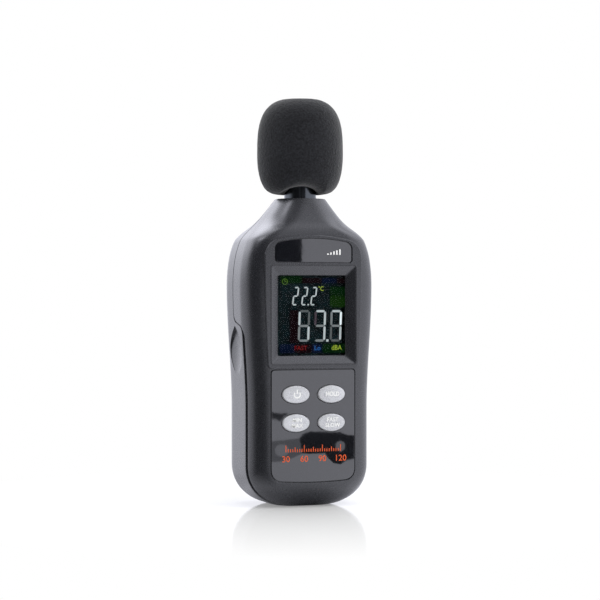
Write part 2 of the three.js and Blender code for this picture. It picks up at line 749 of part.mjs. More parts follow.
function makeComponents() {
  const chipY = boardBack + chipHeight / 2;
  const rowZ = glassMiddle + controllerSide / 2;
  add('controller_chip', 'chip', block(controllerSide, chipHeight, controllerSide, 0, chipY, rowZ));
  const amplifierZ = boardTop - 2 * amplifierWidth;
  const amplifier = block(amplifierLength, chipHeight, amplifierWidth, -controllerSide, chipY, amplifierZ);
  add('amplifier_chip', 'chip', amplifier);
  const crystalX = controllerSide + crystalRadius;
  const crystalZ = rowZ - crystalLength / 2;
  const crystalY = boardBack + crystalRadius;
  const crystal = rodZ(crystalRadius, crystalZ, crystalZ + crystalLength, crystalX, crystalY);
  add('crystal', 'steel', crystal);
  const capacitorX = -controllerSide - capacitorRadius;
  const capacitorEnd = boardBack + capacitorHeight;
  const capacitor = rodY(capacitorRadius, boardBack, capacitorEnd, capacitorX, rowZ, roundSides);
  add('capacitor', 'black', capacitor);
  const trimmerX = controllerSide + trimmerSide / 2;
  const trimmerZ = amplifierZ - trimmerSide / 2;
  const trimmerY = boardBack + trimmerHeight / 2;
  const trimmer = block(trimmerSide, trimmerHeight, trimmerSide, trimmerX, trimmerY, trimmerZ);
  const dial = rodY(trimmerDial, trimmerY, boardBack + trimmerHeight + fit, trimmerX, trimmerZ);
  add('calibration_trimmer', 'blue', solid(trimmer).add(solid(dial)));
  const sensorX = -boardWidth / 2 + boardCorner;
  const beadY = boardBack + sensorLegs;
  const sensorZ = glassMiddle;
  const bead = new THREE.SphereGeometry(sensorRadius, smallSides, smallSides / 2);
  bead.translate(sensorX, beadY, sensorZ);
  const leg = rodY(leadRadius, boardBack, beadY, sensorX, sensorZ);
  add('temperature_sensor', 'black', solid(bead).add(solid(leg)));
}

// Screws

function screw(shankRadius, headRadius, headHeight, seatY, tipY, x, z) {
  const shank = rodY(shankRadius, tipY, seatY + headHeight / 2, x, z);
  const head = rodY(headRadius, seatY, seatY + headHeight, x, z);
  const slotSide = headRadius * 0.9;
  const slotThickness = headRadius * 0.25;
  const slotY = seatY + headHeight;
  const slots = solid(block(2 * slotSide / 1.5, headHeight, slotThickness, x, slotY, z))
    .add(solid(block(slotThickness, headHeight, 2 * slotSide / 1.5, x, slotY, z)));
  return solid(shank).add(solid(head)).subtract(slots);
}

function makeScrews() {
  bosses.forEach(([x, z], k) => {
    const seat = back - screwDepth;
    const tip = bossMeet - screwReach;
    add(`case_screw_${k + 1}`, 'steel', screw(
      screwRadius, screwHeadRadius, screwHeadHeight, seat, tip, x, z));
  });
  posts.forEach(([x, z], k) => {
    const tip = boardFront - boardScrewReach;
    add(`board_screw_${k + 1}`, 'steel', screw(
      boardScrewRadius, boardScrewHeadRadius, boardScrewHeadHeight, boardBack, tip, x, z));
  });
}

// Cells and contacts

const cellX = (k) => (k - (cellCount - 1) / 2) * cellPitch;
const pointsUp = (k) => k % 2 === 0;

function makeCells() {
  const shoulder = cellLength - cellNub;
  const bevel = cellNub / 2;
  for (let k = 0; k < cellCount; k += 1) {
    const cell = turned([
      [0, 0], [cellRadius - bevel, 0], [cellRadius, bevel],
      [cellRadius, shoulder - bevel], [cellRadius - bevel, shoulder],
      [cellNubRadius, shoulder], [cellNubRadius, cellLength], [0, cellLength],
    ]);
    const nubEnd = contactThickness + contactNubHeight + fit;
    if (pointsUp(k)) cell.translate(cellX(k), cellY, bayTop - nubEnd - cellLength);
    else cell.rotateX(Math.PI).translate(cellX(k), cellY, bayBottom + nubEnd + cellLength);
    add(`cell_${k + 1}`, 'cell', cell);
  }
}

// A plate across some cells at one end of the bay, with a spring or a stud for each.
function contact(cells, end) {
  const width = (cells.length - 1) * cellPitch + 2 * cellRadius - 2 * cellSpace;
  const middle = cells.reduce((sum, k) => sum + cellX(k), 0) / cells.length;
  const outer = end > 0 ? bayTop : bayBottom;
  const inner = outer - end * contactThickness;
  let made = solid(block(width, contactDepth, contactThickness, middle, cellY, (outer + inner) / 2));
  for (const k of cells) {
    const stud = pointsUp(k) === end > 0;
    const height = stud ? contactNubHeight : springRoom;
    const low = stud ? contactNubRadius : springBaseRadius;
    const high = stud ? contactNubRadius : springTipRadius;
    const foot = -contactThickness / 2;
    const cone = turned([[0, foot], [low, foot], [low, 0], [high, height], [0, height]], smallSides);
    if (end > 0) cone.rotateX(Math.PI);
    cone.translate(cellX(k), cellY, inner);
    made = made.add(solid(cone));
  }
  return made;
}

function makeContacts() {
  add('contact_positive', 'steel', contact([0], 1));
  add('contact_bridge_upper', 'steel', contact([1, 2], 1));
  add('contact_bridge_lower', 'steel', contact([0, 1], -1));
  add('contact_negative', 'steel', contact([2], -1));
}

// Microphone and windscreen

function makeMicrophone() {
  add('microphone_tube', 'darkMetal', turned([
    [tubeBore, tubeBottom], [tubeRadius, tubeBottom],
    [tubeRadius, flangeBottom], [tubeFlangeRadius, flangeBottom],
    [tubeFlangeRadius, flangeTop], [tubeRadius, flangeTop],
    [tubeRadius, tubeTop], [tubeBore, tubeTop], [tubeBore, tubeBottom],
  ]), topEnd);
  const grilleRadius = tubeBore - fit;
  const grilleBottom = tubeTop - fit - grilleThickness;
  let grille = solid(rodZ(grilleRadius, grilleBottom, tubeTop - fit));
  for (let k = 0; k <= grilleHoleCount; k += 1) {
    const angle = k / grilleHoleCount * Math.PI * 2;
    const reach = k < grilleHoleCount ? grilleHoleRing : 0;
    const hole = rodZ(grilleHoleRadius, grilleBottom - over, tubeTop + over, 0, 0, smallSides);
    grille = grille.subtract(solid(hole.translate(reach * Math.cos(angle), reach * Math.sin(angle), 0)));
  }
  add('microphone_grille', 'steel', grille, topEnd);
  const bootTop = grilleBottom - fit;
  const boot = sleeve(grilleRadius - bootWall, grilleRadius, bootTop - bootHeight, bootTop);
  add('microphone_boot', 'rubber', boot, topEnd);
  const capsuleRadius = grilleRadius - bootWall - fit;
  add('microphone_capsule', 'steel', rodZ(capsuleRadius, bootTop - capsuleHeight, bootTop), topEnd);
}

function makeLeads() {
  const capsuleBottom = tubeTop - 2 * fit - grilleThickness - capsuleHeight;
  const solderZ = boardTop - boardCorner / 2;
  const bendZ = tubeBottom - wall;
  const sides = [['microphone_lead_red', 'red', 1], ['microphone_lead_black', 'black', -1]];
  for (const [name, finish, side] of sides) {
    const x = side * 1.6 * leadRadius;
    const spread = side * 4 * leadRadius;
    add(name, finish, lead([
      [x, -collarForward, capsuleBottom - fit],
      [x, -collarForward, (capsuleBottom + tubeBottom) / 2],
      [x, -collarForward, tubeBottom],
      [spread, boardBack / 2, bendZ],
      [spread, boardBack / 2 + leadRadius, solderZ + boardCorner / 4],
      [spread, boardBack + fit, solderZ],
    ]));
  }
  const tabY = bayFloor - bayWall - leadRadius - fit;
  const ends = [['battery_lead_red', 'red', cellX(0)], ['battery_lead_black', 'black', cellX(cellCount - 1)]];
  for (const [name, finish, x] of ends) {
    const low = bayTop + bayWall - cellRadius;
    add(name, finish, lead([
      [x, tabY, low],
      [x, tabY - leadRadius, low + cellRadius / 2],
      [x, (tabY + boardBack) / 2, low + cellRadius],
      [x, boardBack + fit, low + cellRadius],
    ]));
  }
}

function makeWindscreen() {
  const steps = 9;
  const bore = tubeRadius + fit;
  const boreTop = tubeTop + fit;
  const profile = [[bore, foamBottom]];
  for (let k = steps; k >= 1; k -= 1) {
    const t = Math.sin(k / steps * Math.PI / 2);
    const radius = foamRadius * (1 - t ** foamFootPower) ** (1 / foamFootSquare);
    if (radius > bore + fit) profile.push([radius, mix(foamWaist, foamBottom, t)]);
  }
  for (let k = 0; k < steps; k += 1) {
    const t = Math.sin(k / steps * Math.PI / 2);
    profile.push([foamRadius * (1 - t ** foamDomePower) ** (1 / foamDomePower), mix(foamWaist, foamTop, t)]);
  }
  profile.push([0, foamTop], [0, boreTop], [bore, boreTop]);
  add('windscreen_foam', 'foam', turned([...profile, profile[0]], foamSides), topEnd);
}

makeCase();
makeDisplay();
makeTrim();
makeButtons();
makeBoard();
makeComponents();
makeScrews();
makeCells();
makeContacts();
makeMicrophone();
makeLeads();
makeWindscreen();

// The origin lies midway between what reaches furthest forward and furthest back.
const frontReach = Math.max(back + buttonProud, foamRadius + collarForward);
const backReach = Math.max(back, foamRadius - collarForward);
meter.position.y = (frontReach - backReach) / 2;

export default meter;
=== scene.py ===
"""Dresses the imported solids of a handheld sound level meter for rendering."""

import math

import bmesh
import bpy
from mathutils import Matrix, Vector, noise


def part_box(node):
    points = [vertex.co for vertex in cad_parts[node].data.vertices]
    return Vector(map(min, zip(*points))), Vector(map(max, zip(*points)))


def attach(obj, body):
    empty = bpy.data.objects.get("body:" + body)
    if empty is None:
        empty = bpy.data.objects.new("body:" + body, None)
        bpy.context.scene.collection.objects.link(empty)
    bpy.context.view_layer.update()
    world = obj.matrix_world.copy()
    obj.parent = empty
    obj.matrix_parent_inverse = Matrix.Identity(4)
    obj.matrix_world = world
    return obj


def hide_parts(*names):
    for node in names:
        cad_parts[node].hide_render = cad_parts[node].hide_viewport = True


bl_info = {
    "name": "Sound level meter",
    "version": (1, 0, 0),
    "blender": (4, 5, 0),
    "location": "3D View > Sidebar > Meter",
    "description": "Builds the visible pieces of a handheld sound level meter around its solids",
    "category": "Add Mesh",
}

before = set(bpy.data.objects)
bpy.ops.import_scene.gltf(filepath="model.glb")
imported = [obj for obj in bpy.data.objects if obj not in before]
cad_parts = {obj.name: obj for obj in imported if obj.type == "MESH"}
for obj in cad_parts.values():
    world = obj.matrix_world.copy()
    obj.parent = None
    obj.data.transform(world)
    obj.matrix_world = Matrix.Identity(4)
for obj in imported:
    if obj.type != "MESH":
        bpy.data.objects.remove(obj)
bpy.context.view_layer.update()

# Sizes in millimetres. The part's own sizes are repeated here, and M turns them to metres.
M = 0.001
CASE_HEIGHT = 121.6
SHOULDER_WIDTH = 55.1
GRIP_WIDTH = 50.9
CASE_DEPTH = 33.0
CASE_CORNER = 9.0
COLLAR_RADIUS = 10.0
FOAM_ARCH_ASIDE = -1.8
FOAM_ARCH_HALF = 8.4
FOAM_ARCH_LIFT = 3.0
FOAM_ARCH_FADE = 9.0
FOAM_ARCH_EASE = 4.0
COLLAR_FORWARD = 1.2
BASE_WIDTH = 17.0
BASE_DEPTH = 19.0
BASE_CORNER = 6.0
BASE_BACK = 1.2
SIDE_RISE = 16.0
FACE_RISE = 10.0
SWELL_HEIGHT = 38.0
SHOULDER_HEIGHT = 87.0
WALL = 2.0
LEAST_FLAT = 0.2
FRONT = -CASE_DEPTH / 2
BACK = CASE_DEPTH / 2
INNER_FRONT = FRONT + WALL
FIT = 0.3

SEAM_GAP = 0.3
SEAM_SHUT = 0.03
SEAM_SPREAD = 0.12
REBATE_WIDTH = 1.9
REBATE_DEPTH = 0.6
SEAM_PLANE = 0.7
WRAP_PLANE = -9.0
WRAP_TOP = 74.0
WRAP_DROP = 3.6
SEAM_ROUND = 2.4

SCOOP_HEIGHT = 20.5
SCOOP_WIDTH = 15.0
SCOOP_DEPTH = 1.1
SCOOP_MIDDLE = 61.0
SCOOP_BOW = 14.0
SCOOP_STRETCH_ALONG = 1.15
SCOOP_STRETCH_UP = 1.6

MASK_FRONT = FRONT - 0.6
MASK = dict(width=40.6, straight_end=54.5, arched_end=105.0, straight_corner=2.2, arch_corner=8.0, crown=1.9,
            taper=1.3)
PLATE = dict(width=31.8, straight_end=96.2, arched_end=103.7, straight_corner=1.3, arch_corner=2.6, crown=1.8)
PANEL = dict(width=34.7, straight_end=54.0, arched_end=10.8, straight_corner=1.4, arch_corner=4.6, crown=0.7)
BEZEL_WIDTH = 35.0
BEZEL_HEIGHT = 38.3
BEZEL_MIDDLE = 75.55
BEZEL_DEPTH = 2.2
BEZEL_GROOVE = 0.35
BEZEL_CORNER = 0.8
LIP_THICKNESS = 0.6
GLASS_WIDTH = 28.1
GLASS_HEIGHT = 31.4
GLASS_MIDDLE = 75.3
GLASS_CORNER = 0.5
WINDOW_MARGIN = 1.8
WINDOW_THICKNESS = 1.2
PLATE_RECESS = 0.7
PLATE_THICKNESS = 0.5
PANEL_THICKNESS = 0.9
SHEET_ROUND = 0.12
SEAT_ROUND = 0.2
PRINT_THICKNESS = 0.03
SCALE_LEFT = -11.4
SCALE_PITCH = 0.95
SCALE_FOOT = 21.9
LIP_FRONT = MASK_FRONT + BEZEL_DEPTH
LCD_FRONT = LIP_FRONT + LIP_THICKNESS + WINDOW_THICKNESS + 2 * FIT

BUTTON_WIDTH = 11.3
BUTTON_HEIGHT = 6.9
BUTTON_PITCH_X = 14.8
BUTTON_PITCH_Z = 11.15
BUTTON_ROWS_MIDDLE = 38.85
BUTTON_PROUD = 1.1
BUTTON_FLANGE = 0.9
BUTTON_FLANGE_THICKNESS = 0.8
BUTTON_CLEARANCE = 0.25
LEGEND_ASIDE = 0.3
LEGEND_THICKNESS = 0.16
PLUNGER_RADIUS = 1.7
BOARD_FRONT = -8.4
SWITCH_HEIGHT = 3.4
PLUNGER_REACH = 1.0

BOSS_RADIUS = 2.6
BOSSES = ((-20.2, 21.0), (20.2, 21.0), (-21.2, 97.0), (21.2, 97.0))
BOSS_MEET = -4.0
SCREW_RADIUS = 1.0
SCREW_HEAD_RADIUS = 2.1
SCREW_REACH = 7.0
SCREW_DEPTH = 9.0

CELL_RADIUS = 5.25
CELL_LENGTH = 44.5
CELL_NUB = 1.0
CELL_SPACE = 0.3
CELL_PITCH = 2 * CELL_RADIUS + CELL_SPACE
BAY_BOTTOM = 13.6
BAY_HEIGHT = 50.8
BAY_TOP = BAY_BOTTOM + BAY_HEIGHT
BAY_WALL = 1.6
BAY_WIDTH = 3 * CELL_PITCH + CELL_SPACE
DOOR_THICKNESS = 1.6
CELL_Y = BACK - DOOR_THICKNESS - 2 * FIT - CELL_RADIUS - CELL_SPACE
BAY_FLOOR = CELL_Y - CELL_RADIUS - CELL_SPACE
CONTACT_THICKNESS = 0.4
CONTACT_DEPTH = 8.4
CONTACT_NUB = 0.3
CONTACT_NUB_RADIUS = 1.5
SPRING_BASE_RADIUS = 3.4
SPRING_TIP_RADIUS = 1.9
SPRING_ROOM = BAY_HEIGHT - CELL_LENGTH - 2 * CONTACT_THICKNESS - CONTACT_NUB - 3 * FIT

DOOR_WIDTH = 34.4
DOOR_BOTTOM = 11.8
DOOR_TOP = 65.4
DOOR_CORNER = 3.0
DOOR_GAP = 0.3
DOOR_PIN_DEPTH = 1.0
DOOR_PIN_RADIUS = 0.4
DOOR_PIN_LENGTH = 0.7
DOOR_PIN_ROOM = 0.3
DOOR_AXIS_Y = BACK - DOOR_PIN_DEPTH
DOOR_AXIS_Z = DOOR_BOTTOM + DOOR_PIN_DEPTH
HOOK_WIDTH = 8.0
HOOK_HEIGHT = 1.2
HOOK_DEPTH = 1.4

TUBE_RADIUS = 6.4
TUBE_BORE = 5.3
TUBE_BOTTOM = 108.5
TUBE_TOP = 146.0
FLANGE_RADIUS = 8.2
FLANGE_HEIGHT = 1.8
FLANGE_TOP = CASE_HEIGHT - 3.0 - FIT
FLANGE_BOTTOM = FLANGE_TOP - FLANGE_HEIGHT
WEB_TOP = FLANGE_BOTTOM - FIT
WEB_BOTTOM = WEB_TOP - 2.2

FOAM_RADIUS = 17.2
FOAM_BOTTOM = 123.4
FOAM_TOP = 161.9
FOAM_WAIST = 139.0
FOAM_DOME_POWER = 3.1
FOAM_FOOT_POWER = 1.9
FOAM_FOOT_SQUARE = 6.4

SIDE_SHARES = ((0, 1), (0.3, 0.952), (0.51, 0.832), (0.58, 0.732), (0.72, 0.455), (0.855, 0.225), (1, 0))
FACE_SHARES = (
    (0, 1), (0.4, 1), (0.5, 0.985), (0.58, 0.93), (0.647, 0.8), (0.717, 0.58), (0.855, 0.27), (1, 0))
ROUNDING_SHARES = ((0, 0), (0.5, 0.03), (0.6, 0.2), (0.72, 0.8), (0.8, 1), (1, 1))

foam_low, foam_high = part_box("windscreen_foam")
CASE_Y = (foam_low.y + foam_high.y) / 2 / M + COLLAR_FORWARD
OVER = 2.0


def srgb(code):
    """Turns an sRGB hex colour to linear values with an alpha of 1."""
    parts = [int(code[k:k + 2], 16) / 255 for k in (1, 3, 5)]
    return tuple(c / 12.92 if c <= 0.04045 else ((c + 0.055) / 1.055) ** 2.4 for c in parts) + (1.0,)


def colour(name, text, default):
    """A colour setting."""
    return bpy.props.FloatVectorProperty(
        name=name, description=text, subtype="COLOR", size=4, min=0, max=1, default=srgb(default))


def length(name, text, default):
    """A length setting, given in millimetres and kept in metres."""
    return bpy.props.FloatProperty(
        name=name, description=text, default=default * M, min=0, unit="LENGTH", precision=5)


class MeterFinishes(bpy.types.PropertyGroup):
    """Colours and grain of the mouldings and sheets."""

    shell: colour("Shell", "Colour of the moulded shells", "#232428")
    shell_grain: length("Shell grain", "Width of one speck of the spark texture", 0.28)
    sheet: colour("Sheet", "Colour of the glossy nameplate and button panel", "#15161a")
    silver: colour("Silver", "Colour of the lacquer on the buttons", "#cfd0d3")
    white_print: colour("White print", "Colour of the buttons' legends", "#f4f4f2")
    orange_print: colour("Orange print", "Colour of the level scale", "#e0571d")
    edge_round: length("Edge rounding", "Radius of the moulded edges", 0.35)
    seam_groove: length("Seam groove", "Depth of the groove along the seam", 0.6)


class MeterFoam(bpy.types.PropertyGroup):
    """Colours and pores of the windscreen; the darker pore colour is painted shade."""

    # The strand colour is the foam as lit, and the pore colour is painted shade inside the pores; the finish
    # mixes the two by noise.
    strand: colour("Strands", "Colour of the foam's lit strands", "#2a2b2f")
    pore: colour("Pores", "Colour inside the foam's pores", "#0d0d10")
    pore_size: length("Pore size", "Width of one pore", 0.75)
    pore_depth: length("Pore depth", "Depth of one pore", 0.16)


class MeterDisplay(bpy.types.PropertyGroup):
    """What the display reads, and its colours."""

    temperature: bpy.props.StringProperty(
        name="Temperature", description="Digits of the upper row", default="22.2")
    level: bpy.props.StringProperty(name="Level", description="Digits of the lower row", default="83.8")
    lit: colour("Lit segments", "Colour of the lit segments", "#eef4f8")
    ground: colour("Ground", "Colour of the unlit display", "#071619")


class MeterStage(bpy.types.PropertyGroup):
    """Camera, floor and lights."""

    azimuth: bpy.props.FloatProperty(
        name="Azimuth", description="Turn of the camera about the meter", default=math.radians(-20),
        subtype="ANGLE")
    distance: bpy.props.FloatProperty(
        name="Distance", description="From the camera to the meter", default=0.76, unit="LENGTH")
    eye_height: length("Eye height", "Height of the camera", 81.4)
    view_width: length("View width", "Width of the picture at the meter", 240.0)
    aside: length("Aside", "How far the camera stands to the right of its aim", 0.08)
    floor: colour("Floor", "Colour of the floor", "#f2f2f2")


def unit(value):
    """Keeps a share between 0 and 1."""
    return min(max(value, 0.0), 1.0)


def mix(low, high, share):
    """The value at a share of the way from low to high."""
    return low + (high - low) * share


def round_up(z, rise):
    """A quarter circle's rise as a share."""
    return math.sqrt(1 - (1 - unit(z / rise)) ** 2)


def curve_at(shares, at):
    """Height of a smooth curve through shares, read at a share of its run."""
    last = len(shares) - 1
    k = 0
    while k < last - 1 and at > shares[k + 1][0]:
        k += 1

    def slope(i):
        """Slope at one of the shares, flat at the start and after a level run."""
        before = shares[max(i - 1, 0)]
        after = shares[min(i + 1, last)]
        flat = i == 0 or before[1] == shares[i][1]
        return 0.0 if flat else (after[1] - before[1]) / (after[0] - before[0])

    run = shares[k + 1][0] - shares[k][0]
    rise = shares[k + 1][1] - shares[k][1]
    t = unit((at - shares[k][0]) / run)
    bow = (1 - t) * slope(k) * run - t * slope(k + 1) * run - (1 - 2 * t) * rise
    return shares[k][1] + t * rise + t * (1 - t) * bow


def section(z, inset):
    """Middle, half width, half depth and corner of the case's rounded section at a height."""
    fall = unit((z - SHOULDER_HEIGHT) / (CASE_HEIGHT - SHOULDER_HEIGHT))
    share = unit((z - SWELL_HEIGHT) / (SHOULDER_HEIGHT - SWELL_HEIGHT))
    swell = share * share * (3 - 2 * share)
    side = mix(BASE_WIDTH, mix(GRIP_WIDTH, SHOULDER_WIDTH, swell), round_up(z, SIDE_RISE)) / 2
    face = mix(BASE_DEPTH, CASE_DEPTH, round_up(z, FACE_RISE)) / 2
    corner = mix(BASE_CORNER, CASE_CORNER, round_up(z, FACE_RISE))
    half_width = mix(COLLAR_RADIUS, side, curve_at(SIDE_SHARES, fall)) - inset
    half_depth = mix(COLLAR_RADIUS, face, curve_at(FACE_SHARES, fall)) - inset
    footed = mix(BASE_BACK, 0.0, round_up(z, FACE_RISE))
    middle = mix(-COLLAR_FORWARD, footed, curve_at(FACE_SHARES, fall))
    most = min(half_width, half_depth) - LEAST_FLAT
    rounded = mix(corner - inset, most, curve_at(ROUNDING_SHARES, fall))
    return middle, half_width, half_depth, min(rounded, most)


def section_ring(z, inset, arc, flat):
    """The section's outline as points, with arc steps round a corner and flat steps between corners."""
    middle, half_width, half_depth, corner = section(z, inset)
    points = []
    for quarter in range(4):
        sign_x = 1 if quarter in (0, 3) else -1
        sign_y = 1 if quarter < 2 else -1
        for k in range(arc + 1):
            angle = (quarter + k / arc) * math.pi / 2
            x = sign_x * (half_width - corner) + corner * math.cos(angle)
            y = middle + sign_y * (half_depth - corner) + corner * math.sin(angle)
            points.append(Vector((x, y, z)))
    ring = []
    for k, point in enumerate(points):
        ring.append(point)
        if k % (arc + 1) == arc:
            following = points[(k + 1) % len(points)]
            ring.extend(point.lerp(following, j / flat) for j in range(1, flat))
    return ring


def loft(rings, bm=None, material=0):
    """A closed skin: one circle laid on the first ring of points and extruded from ring to ring."""
    bm = bm or bmesh.new()
    step = bm.verts.layers.int.get("step") or bm.verts.layers.int.new("step")
    old = set(bm.faces)
    verts = bmesh.ops.create_circle(bm, segments=len(rings[0]), radius=1)["verts"]
    for k, vert in enumerate(verts):
        vert[step] = k
        vert.co = rings[0][k]
    edges = list({edge for vert in verts for edge in vert.link_edges})
    bmesh.ops.edgeloop_fill(bm, edges=edges)
    for ring in rings[1:]:
        made = bmesh.ops.extrude_edge_only(bm, edges=edges)["geom"]
        verts = {item for item in made if isinstance(item, bmesh.types.BMVert)}
        edges = [item for item in made
                 if isinstance(item, bmesh.types.BMEdge) and set(item.verts) <= verts]
        for vert in verts:
            vert.co = ring[vert[step]]
    bmesh.ops.edgeloop_fill(bm, edges=edges)
    faces = [face for face in bm.faces if face not in old]
    bmesh.ops.recalc_face_normals(bm, faces=faces)
    for face in faces:
        face.material_index = material
    return bm


def casing(inset, bottom, top, arc, flat, fineness):
    """The case's outer form, drawn in by an inset, between two heights."""
    steps = round(16 * fineness)
    heights = [SIDE_RISE * (1 - math.cos(k / steps * math.pi / 2)) for k in range(steps + 1)]
    grip = SHOULDER_HEIGHT - SIDE_RISE
    steps = round(18 * fineness)
    heights += [SIDE_RISE + grip * k / steps for k in range(1, steps + 1)]
    steps = round(52 * fineness)
    heights += [mix(SHOULDER_HEIGHT, CASE_HEIGHT, k / steps) for k in range(1, steps + 1)]
    between = [z for z in heights if bottom + 0.02 < z < top - 0.02]
    return loft([section_ring(z, inset, arc, flat) for z in [bottom] + between + [top]])


def bend(start, control, end, steps):
    """Points of a quadratic curve, without its start."""
    start, control, end = Vector(start), Vector(control), Vector(end)
    return [start.lerp(control, t).lerp(control.lerp(end, t), t)
            for t in ((k + 1) / steps for k in range(steps))]


def arched_box(width, straight_end, arched_end, straight_corner, arch_corner, crown, taper=0.0, grow=0.0,
               steps=12):
    """A plate outline in X and Z with one straight and one arched end, grown outwards.

    The straight end is narrower than the rest by a taper on each side."""
    half = width / 2 + grow
    foot = half - taper
    side = math.copysign(1, arched_end - straight_end)
    straight = straight_end - side * grow
    arched = arched_end + side * grow
    low = straight_corner + grow
    high = arch_corner + grow
    spring = arched + side * crown / 3
    peak = arched + side * crown * 5 / 3
    points = [Vector((-foot, straight + side * low))]
    points += bend(points[-1], (-foot, straight), (-foot + low, straight), steps)
    points += bend(points[-1], (0, straight), (foot - low, straight), steps)
    points += bend(points[-1], (foot, straight), (foot, straight + side * low), steps)
    points += bend(points[-1], (half, (straight + arched) / 2), (half, arched - side * high), steps)
    points += bend(points[-1], (half, arched), (half - high, spring), steps)
    points += bend(points[-1], (0, peak), (-half + high, spring), 2 * steps)
    points += bend(points[-1], (-half, arched), (-half, arched - side * high), steps)
    points += bend(points[-1], (-half, (straight + arched) / 2), points[0], steps)[:-1]
    return points


def rounded_box(width, bottom, top, corner, grow=0.0, steps=8):
    """A rounded rectangle in X and Z, grown outwards."""
    half = width / 2 + grow
    corner = corner + grow
    low = bottom - grow
    high = top + grow
    points = []
    for quarter, (x, z) in enumerate(
            ((half - corner, high - corner), (-half + corner, high - corner),
             (-half + corner, low + corner), (half - corner, low + corner))):
        for k in range(steps + 1):
            angle = (quarter + k / steps) * math.pi / 2
            points.append(Vector((x + corner * math.cos(angle), z + corner * math.sin(angle))))
    return points


def oval(width, height, x=0.0, z=0.0, grow=0.0, steps=64):
    """An ellipse in X and Z, grown outwards."""
    return [Vector((x + (width / 2 + grow) * math.cos(k / steps * math.tau),
                    z + (height / 2 + grow) * math.sin(k / steps * math.tau))) for k in range(steps)]


def stack(levels, bm=None, material=0):
    """A solid through outlines in X and Z, each given with the Y it lies at."""
    rings = [[Vector((p.x, y, p.y)) for p in outline] for outline, y in levels]
    return loft(rings, bm, material)


def across(outline, left, right):
    """A solid that carries an outline in Y and Z from one X to another."""
    return loft([[Vector((x, p.x, p.y)) for p in outline] for x in (left, right)])


def disc(radius, y, z, steps=32):
    """A circle as an outline in Y and Z."""
    return [Vector((y + radius * math.cos(k / steps * math.tau), z + radius * math.sin(k / steps * math.tau)))
            for k in range(steps)]


def rod(radius, start, end, x, z, steps=32):
    """A rod along Y."""
    return stack([(oval(2 * radius, 2 * radius, x, z, steps=steps), y) for y in (start, end)])


def block(low, high):
    """A box between two corners."""
    low, high = Vector(low), Vector(high)
    bm = bmesh.new()
    bmesh.ops.create_cube(bm, size=1)
    bmesh.ops.scale(bm, vec=high - low, verts=bm.verts)
    bmesh.ops.translate(bm, vec=(low + high) / 2, verts=bm.verts)
    return bm


def turned(profile, steps, x=0.0, y=-COLLAR_FORWARD, bm=None):
    """A profile of (radius, height) pairs turned about an upright axis."""
    bm = bm or bmesh.new()
    first = len(bm.verts)
    verts = [bm.verts.new((x + radius, y, z)) for radius, z in profile]
    edges = [bm.edges.new(pair) for pair in zip(verts, verts[1:])]
    if profile[0][0] > 0 and profile[-1][0] > 0:
        edges.append(bm.edges.new((verts[-1], verts[0])))
    bmesh.ops.spin(bm, geom=verts + edges, cent=(x, y, 0), axis=(0, 0, 1), angle=math.tau,
                   steps=steps, use_merge=True)
    bm.verts.ensure_lookup_table()
    made = bm.verts[first:]
    bmesh.ops.remove_doubles(bm, verts=made, dist=1e-4)
    return bm


def combine(base, tool, operation="DIFFERENCE"):
    """Cuts or joins two closed meshes, which are used up, and gives back the result."""
    holders = []
    for bm in (base, tool):
        mesh = bpy.data.meshes.new("scratch")
        bm.to_mesh(mesh)
        bm.free()
        holder = bpy.data.objects.new("scratch", mesh)
        bpy.context.scene.collection.objects.link(holder)
        holders.append(holder)
    change = holders[0].modifiers.new("combine", "BOOLEAN")
    change.operation = operation
    change.solver = "MANIFOLD"
    change.object = holders[1]
    result = bmesh.new()
    result.from_object(holders[0], bpy.context.evaluated_depsgraph_get())
    for holder in holders:
        mesh = holder.data
        bpy.data.objects.remove(holder)
        bpy.data.meshes.remove(mesh)
    if not result.faces:
        raise RuntimeError("a cut left nothing")
    return result


def new_piece(name, bm, finishes, body, stands_for=(), sharp=32):
    """Turns a mesh in millimetres into a finished object that rides on a body."""
    bmesh.ops.remove_doubles(bm, verts=bm.verts, dist=1e-4)
    bmesh.ops.dissolve_degenerate(bm, edges=bm.edges, dist=1e-4)
    bmesh.ops.recalc_face_normals(bm, faces=bm.faces)
    for edge in bm.edges:
        edge.smooth = edge.calc_face_angle(math.pi) < math.radians(sharp)
    for face in bm.faces:
        face.smooth = True
    bmesh.ops.scale(bm, vec=(M, M, M), verts=bm.verts)
    bmesh.ops.translate(bm, vec=(0, CASE_Y * M, 0), verts=bm.verts)
    mesh = bpy.data.meshes.new(name)
    bm.to_mesh(mesh)
    bm.free()
    made = bpy.data.objects.new(name, mesh)
    bpy.context.scene.collection.objects.link(made)
    for finish in finishes:
        mesh.materials.append(finish)
    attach(made, body)
    if stands_for:
        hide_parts(*stands_for)
    return made


def flat_shading(made):
    """Lets the flats keep their own normals beside rounded edges."""
    change = made.modifiers.new("even normals", "WEIGHTED_NORMAL")
    change.mode = "FACE_AREA"
    change.weight = 80
    change.keep_sharp = True


def add_node(tree, kind, inputs=None, **settings):
    """Adds a node, sets its properties, and links or sets each named input."""
    made = tree.nodes.new(kind)
    for name, value in settings.items():
        setattr(made, name, value)
    for name, value in (inputs or {}).items():
        if isinstance(value, bpy.types.NodeSocket):
            tree.links.new(value, made.inputs[name])
        else:
            made.inputs[name].default_value = value
    return made


